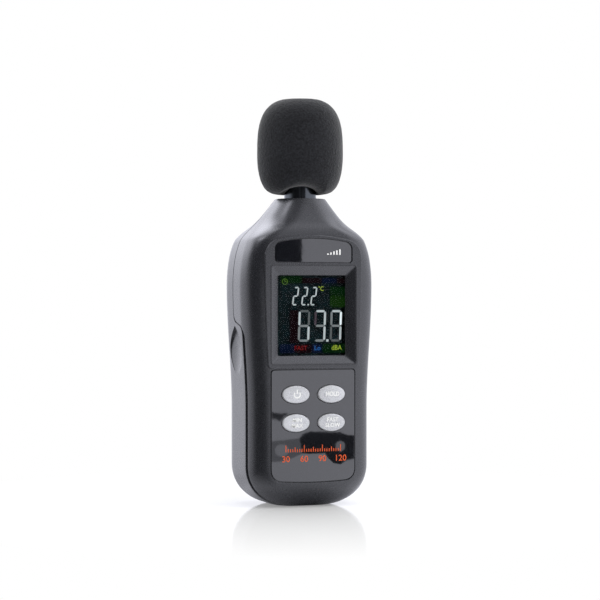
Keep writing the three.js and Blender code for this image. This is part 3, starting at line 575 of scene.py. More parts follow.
def textured(name, dark, light, grain, roughness, relief=0.0, stretch=(1, 1, 1), cloud=18.0, **surface):
    """A finish whose colour, roughness and relief follow a fine grain and a slow cloud over the piece.

    Grain, relief and cloud are in millimetres, and roughness is a pair of limits."""
    found = bpy.data.materials.get(name)
    if found:
        return found
    material = bpy.data.materials.new(name)
    material.use_nodes = True
    tree = material.node_tree
    tree.nodes.clear()
    place = add_node(tree, "ShaderNodeTexCoord").outputs["Object"]
    place = add_node(tree, "ShaderNodeMapping", {"Vector": place, "Scale": stretch}).outputs["Vector"]
    fine = add_node(tree, "ShaderNodeTexNoise", {
        "Vector": place, "Scale": 1 / (grain * M), "Detail": 3.0, "Roughness": 0.6}).outputs["Fac"]
    slow = add_node(tree, "ShaderNodeTexNoise", {
        "Vector": place, "Scale": 1 / (cloud * M), "Detail": 2.0}).outputs["Fac"]
    both = add_node(tree, "ShaderNodeMix", {"Factor": 0.3, "A": fine, "B": slow}).outputs["Result"]
    share = add_node(tree, "ShaderNodeMapRange", {
        "Value": both, "From Min": 0.35, "From Max": 0.65}).outputs["Result"]
    tint = add_node(tree, "ShaderNodeMix", {"Factor": share, 6: dark, 7: light}, data_type="RGBA")
    rough = add_node(tree, "ShaderNodeMapRange", {
        "Value": both, "From Min": 0.35, "From Max": 0.65,
        "To Min": roughness[0], "To Max": roughness[1]}).outputs["Result"]
    inputs = {"Base Color": tint.outputs[2], "Roughness": rough}
    if relief:
        inputs["Normal"] = add_node(tree, "ShaderNodeBump", {
            "Height": fine, "Distance": relief * M, "Strength": 1.0}).outputs["Normal"]
    inputs.update(surface)
    shader = add_node(tree, "ShaderNodeBsdfPrincipled", inputs)
    add_node(tree, "ShaderNodeOutputMaterial", {"Surface": shader.outputs["BSDF"]})
    return material


def shade(tint, factor):
    """A colour made darker or lighter."""
    return tuple(min(c * factor, 1.0) for c in tint[:3]) + (1.0,)


def finish(name):
    """The named finish of this meter, made the first time it is asked for."""
    settings = bpy.context.scene.meter_finishes
    foam = bpy.context.scene.meter_foam
    display = bpy.context.scene.meter_display
    recipes = {
        # Spark-eroded mould surface: an even satin with a fine speck that softens each highlight.
        "moulded ABS": lambda key: textured(
            key, shade(settings.shell, 0.85), shade(settings.shell, 1.15), settings.shell_grain / M,
            (0.22, 0.3), 0.012, **{"IOR": 1.53, "Specular IOR Level": 1.0}),
        # Screen-printed sheet: a mirror gloss with the slow ripple of a thin sheet on adhesive.
        "gloss polycarbonate": lambda key: textured(
            key, shade(settings.sheet, 0.97), shade(settings.sheet, 1.03), 9.0,
            (0.018, 0.03), 0.004, **{"IOR": 1.68, "Specular IOR Level": 1.0}),
        # Open-cell foam: matt strands over pores darkened with painted shade, with a dusty rim of light.
        "polyurethane foam": lambda key: textured(
            key, foam.pore, foam.strand, foam.pore_size / M, (0.95, 1.0), 0.25,
            **{"Sheen Weight": 0.3, "Sheen Roughness": 0.45, "Specular IOR Level": 0.25}),
        # Black anodised tube: dark metal with soft upright reflections.
        "anodised aluminium": lambda key: textured(
            key, srgb("#53575a"), srgb("#61656a"), 0.12, (0.16, 0.2), 0.001, (1, 1, 12), Metallic=1.0),
        # Silver lacquer: fine aluminium flakes under a clear coat sparkle one by one.
        "silver lacquer": lambda key: textured(
            key, shade(settings.silver, 0.72), shade(settings.silver, 1.25), 0.22, (0.22, 0.42), 0.02,
            **{"Metallic": 0.35, "Coat Weight": 0.3, "Coat Roughness": 0.12}),
        # Pad-printed ink: flat, slightly chalky, a touch uneven.
        "white ink": lambda key: textured(
            key, shade(settings.white_print, 0.93), settings.white_print, 0.3, (0.45, 0.6)),
        "orange ink": lambda key: textured(
            key, shade(settings.orange_print, 0.9), settings.orange_print, 0.3, (0.4, 0.55)),
        # Cast acrylic with an anti-reflective coat: clear, with hardly any mirror.
        "coated acrylic": lambda key: textured(
            key, srgb("#eef6f4"), srgb("#f6fbfa"), 4.0, (0.0, 0.02),
            **{"Transmission Weight": 1.0, "IOR": 1.1}),
        # Display cell: nearly black glass with a green cast from the light behind it.
        "display glass": lambda key: textured(
            key, shade(display.ground, 0.8), shade(display.ground, 1.4), 0.5, (0.1, 0.16),
            **{"Specular IOR Level": 0.05}),
        "diffuser acrylic": lambda key: textured(
            key, srgb("#e8ebe7"), srgb("#f4f6f2"), 1.5, (0.5, 0.6)),
        "moulded black plastic": lambda key: textured(
            key, srgb("#121214"), srgb("#1a1a1d"), 0.3, (0.4, 0.52), 0.01),
        "silicone rubber": lambda key: textured(
            key, srgb("#222326"), srgb("#2c2d31"), 0.4, (0.7, 0.85), 0.012),
        "epoxy moulding compound": lambda key: textured(
            key, srgb("#19191b"), srgb("#242427"), 0.15, (0.5, 0.65), 0.006),
        # Nickel plate over spring steel: bright, faintly drawn along its length.
        "nickel plate": lambda key: textured(
            key, srgb("#a9abac"), srgb("#c2c4c5"), 0.1, (0.22, 0.34), 0.002, (1, 6, 1), Metallic=1.0),
        "blue nylon": lambda key: textured(
            key, srgb("#2353a4"), srgb("#3068bd"), 0.3, (0.35, 0.45), 0.006),
        # Printed film shrunk on a steel can: tight, glossy, with faint length-wise strain.
        "shrink sleeve": lambda key: textured(
            key, srgb("#2a3038"), srgb("#343b45"), 0.5, (0.22, 0.3), 0.004, (1, 1, 0.1)),
        "sleeve band": lambda key: textured(
            key, srgb("#9aa3ab"), srgb("#b0b8bf"), 0.5, (0.25, 0.32), 0.004, (1, 1, 0.1), Metallic=0.5),
        "red PVC": lambda key: textured(
            key, srgb("#a81c19"), srgb("#bf2420"), 0.4, (0.35, 0.48), 0.005),
    }
    return recipes[name](name)


def glow(name, tint, strength):
    """A lit part of the display: ink over a lit cell, with a faint grain from the cell's dots."""
    found = bpy.data.materials.get(name)
    if found:
        return found
    made = textured(name, shade(tint, 0.2 * strength), shade(tint, 0.25 * strength), 0.12, (0.4, 0.5),
                    **{"Specular IOR Level": 0.1})
    tree = made.node_tree
    shader = next(n for n in tree.nodes if n.type == "BSDF_PRINCIPLED")
    shader.inputs["Emission Color"].default_value = tint
    shader.inputs["Emission Strength"].default_value = strength
    return made


def rear_side(gap):
    """The rear shell's side of the seam, moved back and down by a gap."""
    far = CASE_DEPTH
    upper = SEAM_PLANE + gap
    lower = WRAP_PLANE + gap
    top = WRAP_TOP - gap
    run = 10
    points = [Vector((far, -far)), Vector((far, CASE_HEIGHT + far)), Vector((upper, CASE_HEIGHT + far)),
              Vector((upper, top + SEAM_ROUND))]
    points += bend(points[-1], (upper, top), (upper - SEAM_ROUND, top - WRAP_DROP / 3), run)
    points += [Vector((lower + SEAM_ROUND, top - WRAP_DROP * 2 / 3))]
    points += bend(points[-1], (lower, top - WRAP_DROP), (lower, top - WRAP_DROP - SEAM_ROUND), run)
    points += [Vector((lower, -far))]
    return across(points, -CASE_DEPTH, CASE_DEPTH)


def whole_casing():
    """The case's outer form at full size."""
    return casing(0.0, 0.0, CASE_HEIGHT, 14, 6, 1.0)


def hollow_case():
    """The case's wall, open at the collar for the tube and its flange."""
    made = combine(whole_casing(), casing(WALL, WALL, WEB_BOTTOM, 6, 2, 0.4))
    made = combine(made, turned(
        [(0, TUBE_BOTTOM), (TUBE_RADIUS + FIT, TUBE_BOTTOM), (TUBE_RADIUS + FIT, WEB_TOP),
         (FLANGE_RADIUS + FIT, WEB_TOP), (FLANGE_RADIUS + FIT, FLANGE_TOP + FIT),
         (TUBE_RADIUS + FIT, FLANGE_TOP + FIT), (TUBE_RADIUS + FIT, CASE_HEIGHT - 0.5),
         (TUBE_RADIUS + FIT + 0.7, CASE_HEIGHT + 0.2), (0, CASE_HEIGHT + 0.2)], 64))
    return made


def rounded_levels(outline, radius, face, inner, steps=4):
    """Levels of a plate whose outer edge is rounded off towards a face that looks forwards."""
    levels = [(outline(0.0), inner), (outline(0.0), face + radius)]
    for k in range(1, steps + 1):
        angle = k / steps * math.pi / 2
        levels.append((outline(-radius * (1 - math.cos(angle))), face + radius * (1 - math.sin(angle))))
    return levels


def flared_levels(outline, radius, face, floor, steps=4):
    """Levels of a cutter whose mouth widens in a round where it meets a face that looks forwards."""
    levels = [(outline(0.0), floor)]
    for k in range(steps + 1):
        angle = k / steps * math.pi / 2
        levels.append((outline(radius * (1 - math.cos(angle))), face + radius * (1 - math.sin(angle))))
    levels.append((outline(radius), face - OVER))
    return levels


def button_places():
    """Names and places of the four buttons."""
    for name, column, row in (("power", -1, 1), ("hold", 1, 1), ("min_max", -1, -1), ("fast_slow", 1, -1)):
        yield name, column * BUTTON_PITCH_X / 2, BUTTON_ROWS_MIDDLE + row * BUTTON_PITCH_Z / 2


def case_skin(depth):
    """The outermost layer of the case, down to a depth."""
    return combine(casing(-1.0, -1.0, CASE_HEIGHT + 1.0, 14, 6, 0.6),
                   casing(depth, depth, CASE_HEIGHT - depth, 14, 6, 1.0))


def screw_boss(start, end, x, z):
    """A boss for a case screw, kept within the case."""
    return combine(rod(BOSS_RADIUS, start, end, x, z), whole_casing(), "INTERSECT")


def glass_outline(grow=0.0):
    """The opening in front of the display, grown outwards."""
    return rounded_box(GLASS_WIDTH, GLASS_MIDDLE - GLASS_HEIGHT / 2, GLASS_MIDDLE + GLASS_HEIGHT / 2,
                       GLASS_CORNER, grow)


def bezel_outline(grow=0.0):
    """The mouth of the display's bezel, grown outwards."""
    return rounded_box(BEZEL_WIDTH, BEZEL_MIDDLE - BEZEL_HEIGHT / 2, BEZEL_MIDDLE + BEZEL_HEIGHT / 2,
                       BEZEL_CORNER, grow)


def moulding(name, made, body, solid):
    """Finishes a moulded piece of the case."""
    flat_shading(new_piece(name, made, [finish("moulded ABS")], body, [solid]))


def seam_band(depth):
    """A thin skin along the seam that leaves a fine groove where it is cut away."""
    band = combine(rear_side(-SEAM_SPREAD), rear_side(SEAM_GAP + SEAM_SPREAD))
    return combine(case_skin(depth), band, "INTERSECT")


def wrap_rebate():
    """A shallow rebate in the front shell along the band that wraps forwards."""
    low = WRAP_PLANE - REBATE_WIDTH
    top = WRAP_TOP - WRAP_DROP - SEAM_ROUND
    strip = across([Vector((WRAP_PLANE + SEAM_GAP, -1.0)), Vector((WRAP_PLANE + SEAM_GAP, top)),
                    Vector((WRAP_PLANE, top + REBATE_WIDTH)), Vector((low, top - REBATE_WIDTH)),
                    Vector((low, -1.0))], -CASE_DEPTH, CASE_DEPTH)
    return combine(case_skin(REBATE_DEPTH), strip, "INTERSECT")


class METER_OT_front_shell(bpy.types.Operator):
    """Moulds the front shell with its mask, recesses and bosses"""

    bl_idname = "meter.front_shell"
    bl_label = "Front shell"

    def execute(self, context):
        settings = context.scene.meter_finishes
        edge = settings.edge_round / M
        mask = stack(rounded_levels(
            lambda g: arched_box(**MASK, grow=g), edge, MASK_FRONT, INNER_FRONT - 0.4))
        made = combine(combine(hollow_case(), mask, "UNION"), rear_side(0.0))
        for x, z in BOSSES:
            made = combine(made, screw_boss(INNER_FRONT - FIT, BOSS_MEET - FIT / 2, x, z), "UNION")
        slope = (BEZEL_WIDTH - GLASS_WIDTH) / 2 / BEZEL_DEPTH
        opening = glass_outline()
        mouth = [bezel_outline(g) for g in (-0.22 * slope, 0.1, 0.3)]
        lip = [glass_outline(g) for g in (0.06, 0.2, 0.5)]
        made = combine(made, stack([
            (opening, INNER_FRONT + OVER), (opening, LIP_FRONT + 0.3), (lip[0], LIP_FRONT + 0.1),
            (lip[1], LIP_FRONT - 0.04), (lip[2], LIP_FRONT - 0.5 / slope), (mouth[0], MASK_FRONT + 0.22),
            (mouth[1], MASK_FRONT + 0.03), (mouth[2], MASK_FRONT - 0.02), (mouth[2], MASK_FRONT - OVER)]))
        inside, outside = (bezel_outline(g) for g in (0.1, 0.1 + BEZEL_GROOVE))
        groove = stack([(outside, MASK_FRONT + BEZEL_GROOVE), (outside, MASK_FRONT - OVER)])
        made = combine(made, combine(groove, stack([(inside, MASK_FRONT + 1), (inside, MASK_FRONT - 1)])))
        half = GLASS_WIDTH / 2 + WINDOW_MARGIN + FIT
        high = GLASS_HEIGHT / 2 + WINDOW_MARGIN + FIT
        seat = LIP_FRONT + LIP_THICKNESS
        made = combine(made, block((-half, seat, GLASS_MIDDLE - high),
                                   (half, seat + OVER, GLASS_MIDDLE + high)))
        made = combine(made, stack(flared_levels(
            lambda g: arched_box(**PLATE, grow=FIT + g), SEAT_ROUND, MASK_FRONT, MASK_FRONT + PLATE_RECESS)))
        made = combine(made, stack(flared_levels(
            lambda g: arched_box(**PANEL, grow=FIT + g), SEAT_ROUND, FRONT, FRONT + PANEL_THICKNESS)))
        for _, x, z in button_places():
            hole = oval(BUTTON_WIDTH, BUTTON_HEIGHT, x, z, 2 * BUTTON_CLEARANCE)
            made = combine(made, stack([(hole, MASK_FRONT), (hole, INNER_FRONT + OVER)]))
        for x, z in BOSSES:
            made = combine(made, rod(SCREW_RADIUS + FIT, BOSS_MEET - SCREW_REACH - FIT, OVER, x, z))
        made = combine(made, seam_band(settings.seam_groove / M))
        made = combine(made, wrap_rebate())
        moulding("shell_front", made, "case", "front_shell")
        return {"FINISHED"}


def leaf_scoop(side):
    """A leaf-shaped hollow in one side of the grip."""
    half = SCOOP_HEIGHT / 2
    points = [Vector((0, SCOOP_MIDDLE - half))]
    points += bend(points[-1], (SCOOP_WIDTH, SCOOP_MIDDLE), (0, SCOOP_MIDDLE + half), 24)
    points += bend(points[-1], (-SCOOP_WIDTH, SCOOP_MIDDLE), (0, SCOOP_MIDDLE - half), 24)[:-1]
    left, right = sorted((0.0, side * SHOULDER_WIDTH))
    bowl = bmesh.new()
    bmesh.ops.create_uvsphere(bowl, u_segments=64, v_segments=48, radius=SCOOP_BOW)
    bmesh.ops.scale(bowl, vec=(0.5, SCOOP_STRETCH_ALONG, SCOOP_STRETCH_UP), verts=bowl.verts)
    bottom = section(SCOOP_MIDDLE, 0.0)[1] - SCOOP_DEPTH
    bmesh.ops.translate(bowl, vec=(side * (bottom + SCOOP_BOW / 2), 0, SCOOP_MIDDLE), verts=bowl.verts)
    return combine(across(points, left, right), bowl, "INTERSECT")


def door_outline(grow):
    """The battery door as seen from behind, grown outwards."""
    return rounded_box(DOOR_WIDTH, DOOR_BOTTOM, DOOR_TOP, DOOR_CORNER, grow)


class METER_OT_rear_shell(bpy.types.Operator):
    """Moulds the rear shell with its battery bay, screw wells and finger scoops"""

    bl_idname = "meter.rear_shell"
    bl_label = "Rear shell"

    def execute(self, context):
        settings = context.scene.meter_finishes
        made = combine(hollow_case(), rear_side(SEAM_SHUT), "INTERSECT")
        half = BAY_WIDTH / 2
        bay = block((-half - BAY_WALL, BAY_FLOOR - BAY_WALL, BAY_BOTTOM - BAY_WALL),
                    (half + BAY_WALL, BACK, BAY_TOP + BAY_WALL))
        made = combine(made, combine(bay, whole_casing(), "INTERSECT"), "UNION")
        for x, z in BOSSES:
            made = combine(made, screw_boss(BOSS_MEET + FIT / 2, BACK, x, z), "UNION")
        for x, z in BOSSES:
            width = 2 * (SCREW_HEAD_RADIUS + FIT)
            well = [(oval(width, width, x, z, grow), BACK + y) for grow, y in (
                (0.0, -SCREW_DEPTH), (0.0, -0.3), (0.12, -0.1), (0.4, 0.1), (0.4, OVER))]
            made = combine(made, stack(well))
            made = combine(made, rod(SCREW_RADIUS + FIT, BOSS_MEET - OVER, BACK, x, z))
        narrow = door_outline(DOOR_GAP)
        wide = door_outline(DOOR_GAP + 0.2)
        mouth = stack([(narrow, 0.0), (narrow, BACK - 0.15), (wide, BACK + 0.05), (wide, BACK + OVER)])
        seat = DOOR_THICKNESS + FIT
        made = combine(made, combine(mouth, casing(seat, 0.0, CASE_HEIGHT, 14, 6, 0.6)))
        made = combine(made, block((-half, BAY_FLOOR, BAY_BOTTOM), (half, BACK + OVER, BAY_TOP)))
        reach = DOOR_WIDTH / 2 + DOOR_PIN_LENGTH + FIT
        swing = DOOR_WIDTH / 2 + DOOR_GAP
        for radius, end in ((DOOR_PIN_RADIUS + DOOR_PIN_ROOM, reach), (DOOR_PIN_DEPTH + FIT, swing)):
            made = combine(made, across(disc(radius, DOOR_AXIS_Y, DOOR_AXIS_Z), -end, end))
        for side in (-1, 1):
            made = combine(made, leaf_scoop(side))
        made = combine(made, seam_band(settings.seam_groove / M))
        moulding("shell_rear", made, "case", "rear_shell")
        return {"FINISHED"}


class METER_OT_battery_door(bpy.types.Operator):
    """Moulds the battery door with its grip grooves, pins and latch hook"""

    bl_idname = "meter.battery_door"
    bl_label = "Battery door"

    def execute(self, context):
        skin = combine(whole_casing(), casing(DOOR_THICKNESS, 0.0, CASE_HEIGHT, 14, 6, 1.0))
        plate = stack([(door_outline(0.0), 0.0), (door_outline(0.0), BACK - 0.2),
                       (door_outline(-0.08), BACK - 0.06), (door_outline(-0.25), BACK + 0.02),
                       (door_outline(-0.25), BACK + OVER)])
        made = combine(plate, skin, "INTERSECT")
        above = block((-DOOR_WIDTH, 0, DOOR_AXIS_Z), (DOOR_WIDTH, CASE_DEPTH, CASE_HEIGHT))
        roll = across(disc(DOOR_PIN_DEPTH, DOOR_AXIS_Y, DOOR_AXIS_Z), -DOOR_WIDTH, DOOR_WIDTH)
        made = combine(made, combine(above, roll, "UNION"), "INTERSECT")
        reach = DOOR_WIDTH / 2 + DOOR_PIN_LENGTH
        pins = across(disc(DOOR_PIN_RADIUS, DOOR_AXIS_Y, DOOR_AXIS_Z, 24), -reach, reach)
        made = combine(made, pins, "UNION")
        hook_back = BACK - DOOR_THICKNESS + FIT
        hook = block((-HOOK_WIDTH / 2, hook_back - HOOK_DEPTH - FIT, BAY_TOP - FIT - HOOK_HEIGHT),
                     (HOOK_WIDTH / 2, hook_back, BAY_TOP - FIT))
        made = combine(made, hook, "UNION")
        for k in range(6):
            z = DOOR_TOP - 5.0 - 1.7 * k
            width = 15.0 - 1.5 * k
            bar = [rounded_box(width, z - 0.35, z + 0.35, 0.34, g, 6) for g in (-0.15, 0.0, 0.25)]
            made = combine(made, stack([(bar[0], BACK - 0.5), (bar[1], BACK - 0.25), (bar[2], BACK + 0.02),
                                        (bar[2], BACK + OVER)]))
        moulding("door", made, "battery_door", "battery_door")
        return {"FINISHED"}


def lettering(bm, text, height, x, z, y, thickness, material, bold=0.0, squeeze=1.0):
    """Adds words as a thin raised print that faces forwards."""
    curve = bpy.data.curves.new("lettering", "FONT")
    curve.body = text
    curve.size = height
    curve.align_x = "CENTER"
    curve.align_y = "CENTER"
    curve.extrude = thickness / 2
    curve.offset = bold
    curve.resolution_u = 3
    holder = bpy.data.objects.new("lettering", curve)
    bpy.context.scene.collection.objects.link(holder)
    first = len(bm.verts)
    mesh = bpy.data.meshes.new_from_object(holder.evaluated_get(bpy.context.evaluated_depsgraph_get()))
    before = set(bm.faces)
    bm.from_mesh(mesh)
    bpy.data.objects.remove(holder)
    bpy.data.curves.remove(curve)
    bpy.data.meshes.remove(mesh)
    bm.verts.ensure_lookup_table()
    verts = bm.verts[first:]
    place = Matrix.Translation((x, y, z)) @ Matrix.Rotation(math.pi / 2, 4, "X")
    place = place @ Matrix.Diagonal((squeeze, 1, 1, 1))
    bmesh.ops.transform(bm, matrix=place, verts=verts)
    for face in bm.faces:
        if face not in before:
            face.material_index = material
    return bm


def tick(bm, x, z, width, height, y, thickness, material):
    """Adds a small printed bar."""
    bar = rounded_box(width, z - height / 2, z + height / 2, min(width, height) * 0.2, 0.0, 3)
    bar = [Vector((p.x + x, p.y)) for p in bar]
    return stack([(bar, y), (bar, y - thickness)], bm, material)


class METER_OT_trim(bpy.types.Operator):
    """Makes the glossy nameplate and the button panel with its printed level scale"""

    bl_idname = "meter.trim"
    bl_label = "Nameplate and panel"

    def execute(self, context):
        sheet = finish("gloss polycarbonate")
        seat = MASK_FRONT + PLATE_RECESS
        plate = stack(rounded_levels(
            lambda g: arched_box(**PLATE, grow=g), SHEET_ROUND, seat - PLATE_THICKNESS, seat))
        for k in range(5):
            tick(plate, 6.0 + 1.25 * k, 100.4 - 1.2 + (0.5 + 0.42 * k) / 2, 0.62, 0.5 + 0.42 * k,
                 seat - PLATE_THICKNESS + 0.01, PRINT_THICKNESS, 1)
        new_piece("nameplate_sheet", plate, [sheet, finish("white ink")], "case",
                  ["nameplate"], 8)
        panel = stack(rounded_levels(
            lambda g: arched_box(**PANEL, grow=g), SHEET_ROUND, FRONT, FRONT + PANEL_THICKNESS))
        for _, x, z in button_places():
            outline = lambda g, x=x, z=z: oval(BUTTON_WIDTH, BUTTON_HEIGHT, x, z, BUTTON_CLEARANCE + g)
            panel = combine(panel, stack([(outline(0), FRONT + OVER), (outline(0), FRONT + 0.1),
                                          (outline(0.03), FRONT + 0.02), (outline(0.12), FRONT - 0.02),
                                          (outline(0.12), FRONT - OVER)]))
        face = FRONT + 0.01
        for k in range(25):
            tall = 2.7 if k % 8 == 0 else 1.9 if k % 4 == 0 else 1.2
            tick(panel, SCALE_LEFT + SCALE_PITCH * k, SCALE_FOOT + tall / 2, 0.34, tall, face,
                 PRINT_THICKNESS, 1)
        for k, words in enumerate(("30", "60", "90", "120")):
            lettering(panel, words, 3.4, SCALE_LEFT + SCALE_PITCH * 8 * k, 19.1, face, 0.05, 1, 0.03)
        new_piece("panel_sheet", panel, [sheet, finish("orange ink")], "case",
                  ["button_panel"], 8)
        return {"FINISHED"}


class METER_OT_buttons(bpy.types.Operator):
    """Moulds the four oval buttons with their printed legends"""

    bl_idname = "meter.buttons"
    bl_label = "Buttons"

    def execute(self, context):
        top = FRONT - BUTTON_PROUD
        flange_front = INNER_FRONT + FIT
        flange_back = flange_front + BUTTON_FLANGE_THICKNESS
        stem_end = BOARD_FRONT - SWITCH_HEIGHT - PLUNGER_REACH - FIT
        for name, x, z in button_places():
            stem = oval(2 * PLUNGER_RADIUS, 2 * PLUNGER_RADIUS, x, z)
            flange = oval(BUTTON_WIDTH, BUTTON_HEIGHT, x, z, BUTTON_FLANGE)
            levels = [(stem, stem_end), (stem, flange_back), (flange, flange_back), (flange, flange_front),
                      (oval(BUTTON_WIDTH, BUTTON_HEIGHT, x, z), flange_front)]
            edge = 0.5
            crown = 0.16
            for k in range(7):
                angle = k / 6 * math.pi / 2
                levels.append((oval(BUTTON_WIDTH, BUTTON_HEIGHT, x, z, -edge * (1 - math.cos(angle))),
                               top + crown + edge * (1 - math.sin(angle))))
            for share in (0.8, 0.6, 0.4, 0.2, 0.03):
                dome = oval((BUTTON_WIDTH - 2 * edge) * share, (BUTTON_HEIGHT - 2 * edge) * share, x, z)
                levels.append((dome, top + crown * share * share))
            cap = stack(levels)
            face = top + 0.05
            if name == "power":
                self.power_mark(cap, x + LEGEND_ASIDE, z, face)
            elif name == "hold":
                lettering(cap, "HOLD", 2.4, x + LEGEND_ASIDE, z, face, LEGEND_THICKNESS, 1, 0.09, 0.84)
            else:
                words = name.upper().split("_")
                for word, rise in zip(words, (1.1, -1.1)):
                    lettering(cap, word, 2.2, x + LEGEND_ASIDE, z + rise, face, LEGEND_THICKNESS, 1, 0.045)
            new_piece(f"cap_{name}", cap, [finish("silver lacquer"), finish("white ink")],
                      f"button_{name}", [f"button_{name}"])
        return {"FINISHED"}

    def power_mark(self, cap, x, z, face):
        """A ring with a gap at its top and a bar through the gap."""
        radius = 1.25
        width = 0.52
        steps = 28
        start = math.radians(50)
        half = width / 2
        deep = LEGEND_THICKNESS / 2
        corners = ((-half, deep), (half, deep), (half, -deep), (-half, -deep))
        rings = []
        for k in range(steps + 1):
            angle = mix(start, math.tau - start, k / steps)
            way = Vector((math.sin(angle), 0, math.cos(angle)))
            rings.append([Vector((x, face + y, z)) + way * (radius + r) for r, y in corners])
        loft(rings, cap, 1)
        tick(cap, x, z + radius * 0.8, width, 1.6, face + deep, LEGEND_THICKNESS, 1)


# Places of the display's finishes in its list.
(LIT, DIM, ICON, RED, BLUE, YELLOW, MAROON, NAVY, GREEN, BRIGHT_GREEN, SOFT, GHOST, BRIGHT) = range(13)
SEGMENT_THICKNESS = 0.06
SEGMENTS = {
    "0": "abcdef", "1": "bc", "2": "abged", "3": "abgcd", "4": "fgbc", "5": "afgcd", "6": "afgecd",
    "7": "abc", "8": "abcdefg", "9": "abcdfg",
}


def digit(bm, figure, left, bottom, width, height, stroke, lean, y, materials):
    """Adds one seven-segment figure, with each segment in the finish named for it."""
    half = height / 2
    gap = stroke * 0.14
    bars = {
        "a": ((0, height), (width, height)), "g": ((0, half), (width, half)), "d": ((0, 0), (width, 0)),
        "f": ((0, half), (0, height)), "b": ((width, half), (width, height)),
        "e": ((0, 0), (0, half)), "c": ((width, 0), (width, half)),
    }
    for name in SEGMENTS[figure] + materials.get("unlit", ""):
        start, end = (Vector(p) for p in bars[name])
        way = (end - start).normalized()
        aside = Vector((-way.y, way.x)) * stroke / 2
        start = start + way * gap
        end = end - way * gap
        nose = way * stroke / 2
        outline = [start, start + nose - aside, end - nose - aside, end, end - nose + aside,
                   start + nose + aside]
        outline = [Vector((left + p.x + lean * p.y, bottom + p.y)) for p in outline]
        stack([(outline, y), (outline, y - SEGMENT_THICKNESS)], bm, materials.get(name, materials["lit"]))


class METER_OT_display(bpy.types.Operator):
    """Lights the display's figures, units and words, its clock and its faint coloured fields"""

    bl_idname = "meter.display"
    bl_label = "Display"

    def execute(self, context):
        settings = context.scene.meter_display
        y = LCD_FRONT + 0.02
        front = y - 0.02
        left = -GLASS_WIDTH / 2
        low = GLASS_MIDDLE - GLASS_HEIGHT / 2
        lit = settings.lit
        finishes = [glow("lit segment", lit, 0.5), glow("dim segment", lit, 0.1),
                    glow("green icon", srgb("#7fae3a"), 0.35), glow("red bar", srgb("#a8181a"), 0.4),
                    glow("blue mark", srgb("#2f6fc0"), 0.6), glow("yellow unit", srgb("#b4cc3c"), 0.7),
                    glow("maroon field", srgb("#1c0a10"), 0.4), glow("navy field", srgb("#06122e"), 0.7),
                    glow("green field", srgb("#05260a"), 0.7),
                    glow("bright green field", srgb("#16380a"), 0.6),
                    glow("soft segment", lit, 0.2), glow("ghost segment", srgb("#5a4a55"), 0.5),
                    glow("bright segment", lit, 0.95)]
        made = bmesh.new()
        self.fields(made, left, low, y)
        self.figures(made, settings.temperature, left + 6.8, low + 19.95, 1.65, 6.75, 0.55, 0.13, 3.8, y)
        lettering(made, "\u00b0C", 2.5, left + 18.7, low + 26.2, front, SEGMENT_THICKNESS, YELLOW, 0.0, 0.85)
        self.figures(made, settings.level, left + 9.35, low + 5.8, 3.95, 11.6, 0.88, 0.04, 6.72, y)
        lettering(made, "FAST", 2.5, left + 10.2, low + 2.8, front, SEGMENT_THICKNESS, RED, 0.02)
        lettering(made, "Lo", 2.6, left + 17.2, low + 2.8, front, SEGMENT_THICKNESS, BLUE, 0.03)
        lettering(made, "dBA", 2.8, left + 25.3, low + 2.9, front, SEGMENT_THICKNESS, YELLOW, 0.0, 0.9)
        self.clock(made, left + 3.6, low + 29.0, front)
        new_piece("display_image", made, finishes, "case")
        return {"FINISHED"}

    def fields(self, made, left, low, y):
        """The faint coloured fields of the cell."""
        for x, z, width, height, material in (
                (4.6, 2.7, 6.2, 3.6, NAVY), (11.3, 2.7, 7.2, 3.6, MAROON), (17.1, 2.7, 4.4, 3.6, NAVY),
                (24.2, 2.7, 9.8, 3.6, GREEN), (6.2, 29.8, 9.0, 2.8, GREEN), (14.9, 29.4, 8.4, 2.0, MAROON),
                (22.2, 29.4, 6.2, 2.0, NAVY), (27.0, 29.4, 3.4, 2.0, MAROON),
                (25.7, 21.3, 6.4, 4.8, BRIGHT_GREEN), (25.7, 25.4, 6.4, 3.4, GREEN),
                (7.5, 11.3, 3.8, 13.0, MAROON)):
            tick(made, left + x, low + z, width, height, y, 0.02, material)

    def figures(self, made, text, left, bottom, width, height, stroke, lean, pitch, y):
        """A row of figures, with some segments dimmer as on a scanned display."""
        dims = [{"lit": LIT, "a": DIM, "b": DIM, "g": SOFT, "e": SOFT, "d": SOFT},
                {"lit": LIT, "g": SOFT, "d": SOFT, "f": GHOST, "unlit": "f"},
                {"lit": SOFT, "a": LIT, "b": BRIGHT, "c": LIT, "e": DIM, "d": DIM}]
        place = 0
        for figure in text:
            if figure == ".":
                dot = left + pitch * place - (pitch - width) / 2
                tick(made, dot, bottom, stroke * 1.1, stroke * 1.1, y, SEGMENT_THICKNESS, LIT)
                continue
            materials = dims[place % 3] if height > 9 else {"lit": LIT}
            digit(made, figure, left + pitch * place, bottom, width, height, stroke, lean, y, materials)
            place += 1

    def clock(self, made, x, z, y):
        """A ring with two hands."""
        rings = []
        steps = 28
        for k in range(steps):
            angle = k / steps * math.tau
            way = Vector((math.sin(angle), 0, math.cos(angle)))
            rings.append([Vector((x, y, z)) + way * 0.98, Vector((x, y, z)) + way * 1.2])
        ring = [Vector((p[1].x, p[1].z)) for p in rings]
        hole = [Vector((p[0].x, p[0].z)) for p in rings]
        body = combine(stack([(ring, y), (ring, y - 0.05)]), stack([(hole, y + 1), (hole, y - 1)]))
        for face in body.faces:
            face.material_index = ICON
        mesh = bpy.data.meshes.new("clock")
        body.to_mesh(mesh)
        body.free()
        made.from_mesh(mesh)
        bpy.data.meshes.remove(mesh)
        tick(made, x, z + 0.35, 0.22, 0.8, y, 0.05, ICON)
        tick(made, x + 0.3, z, 0.7, 0.22, y, 0.05, ICON)


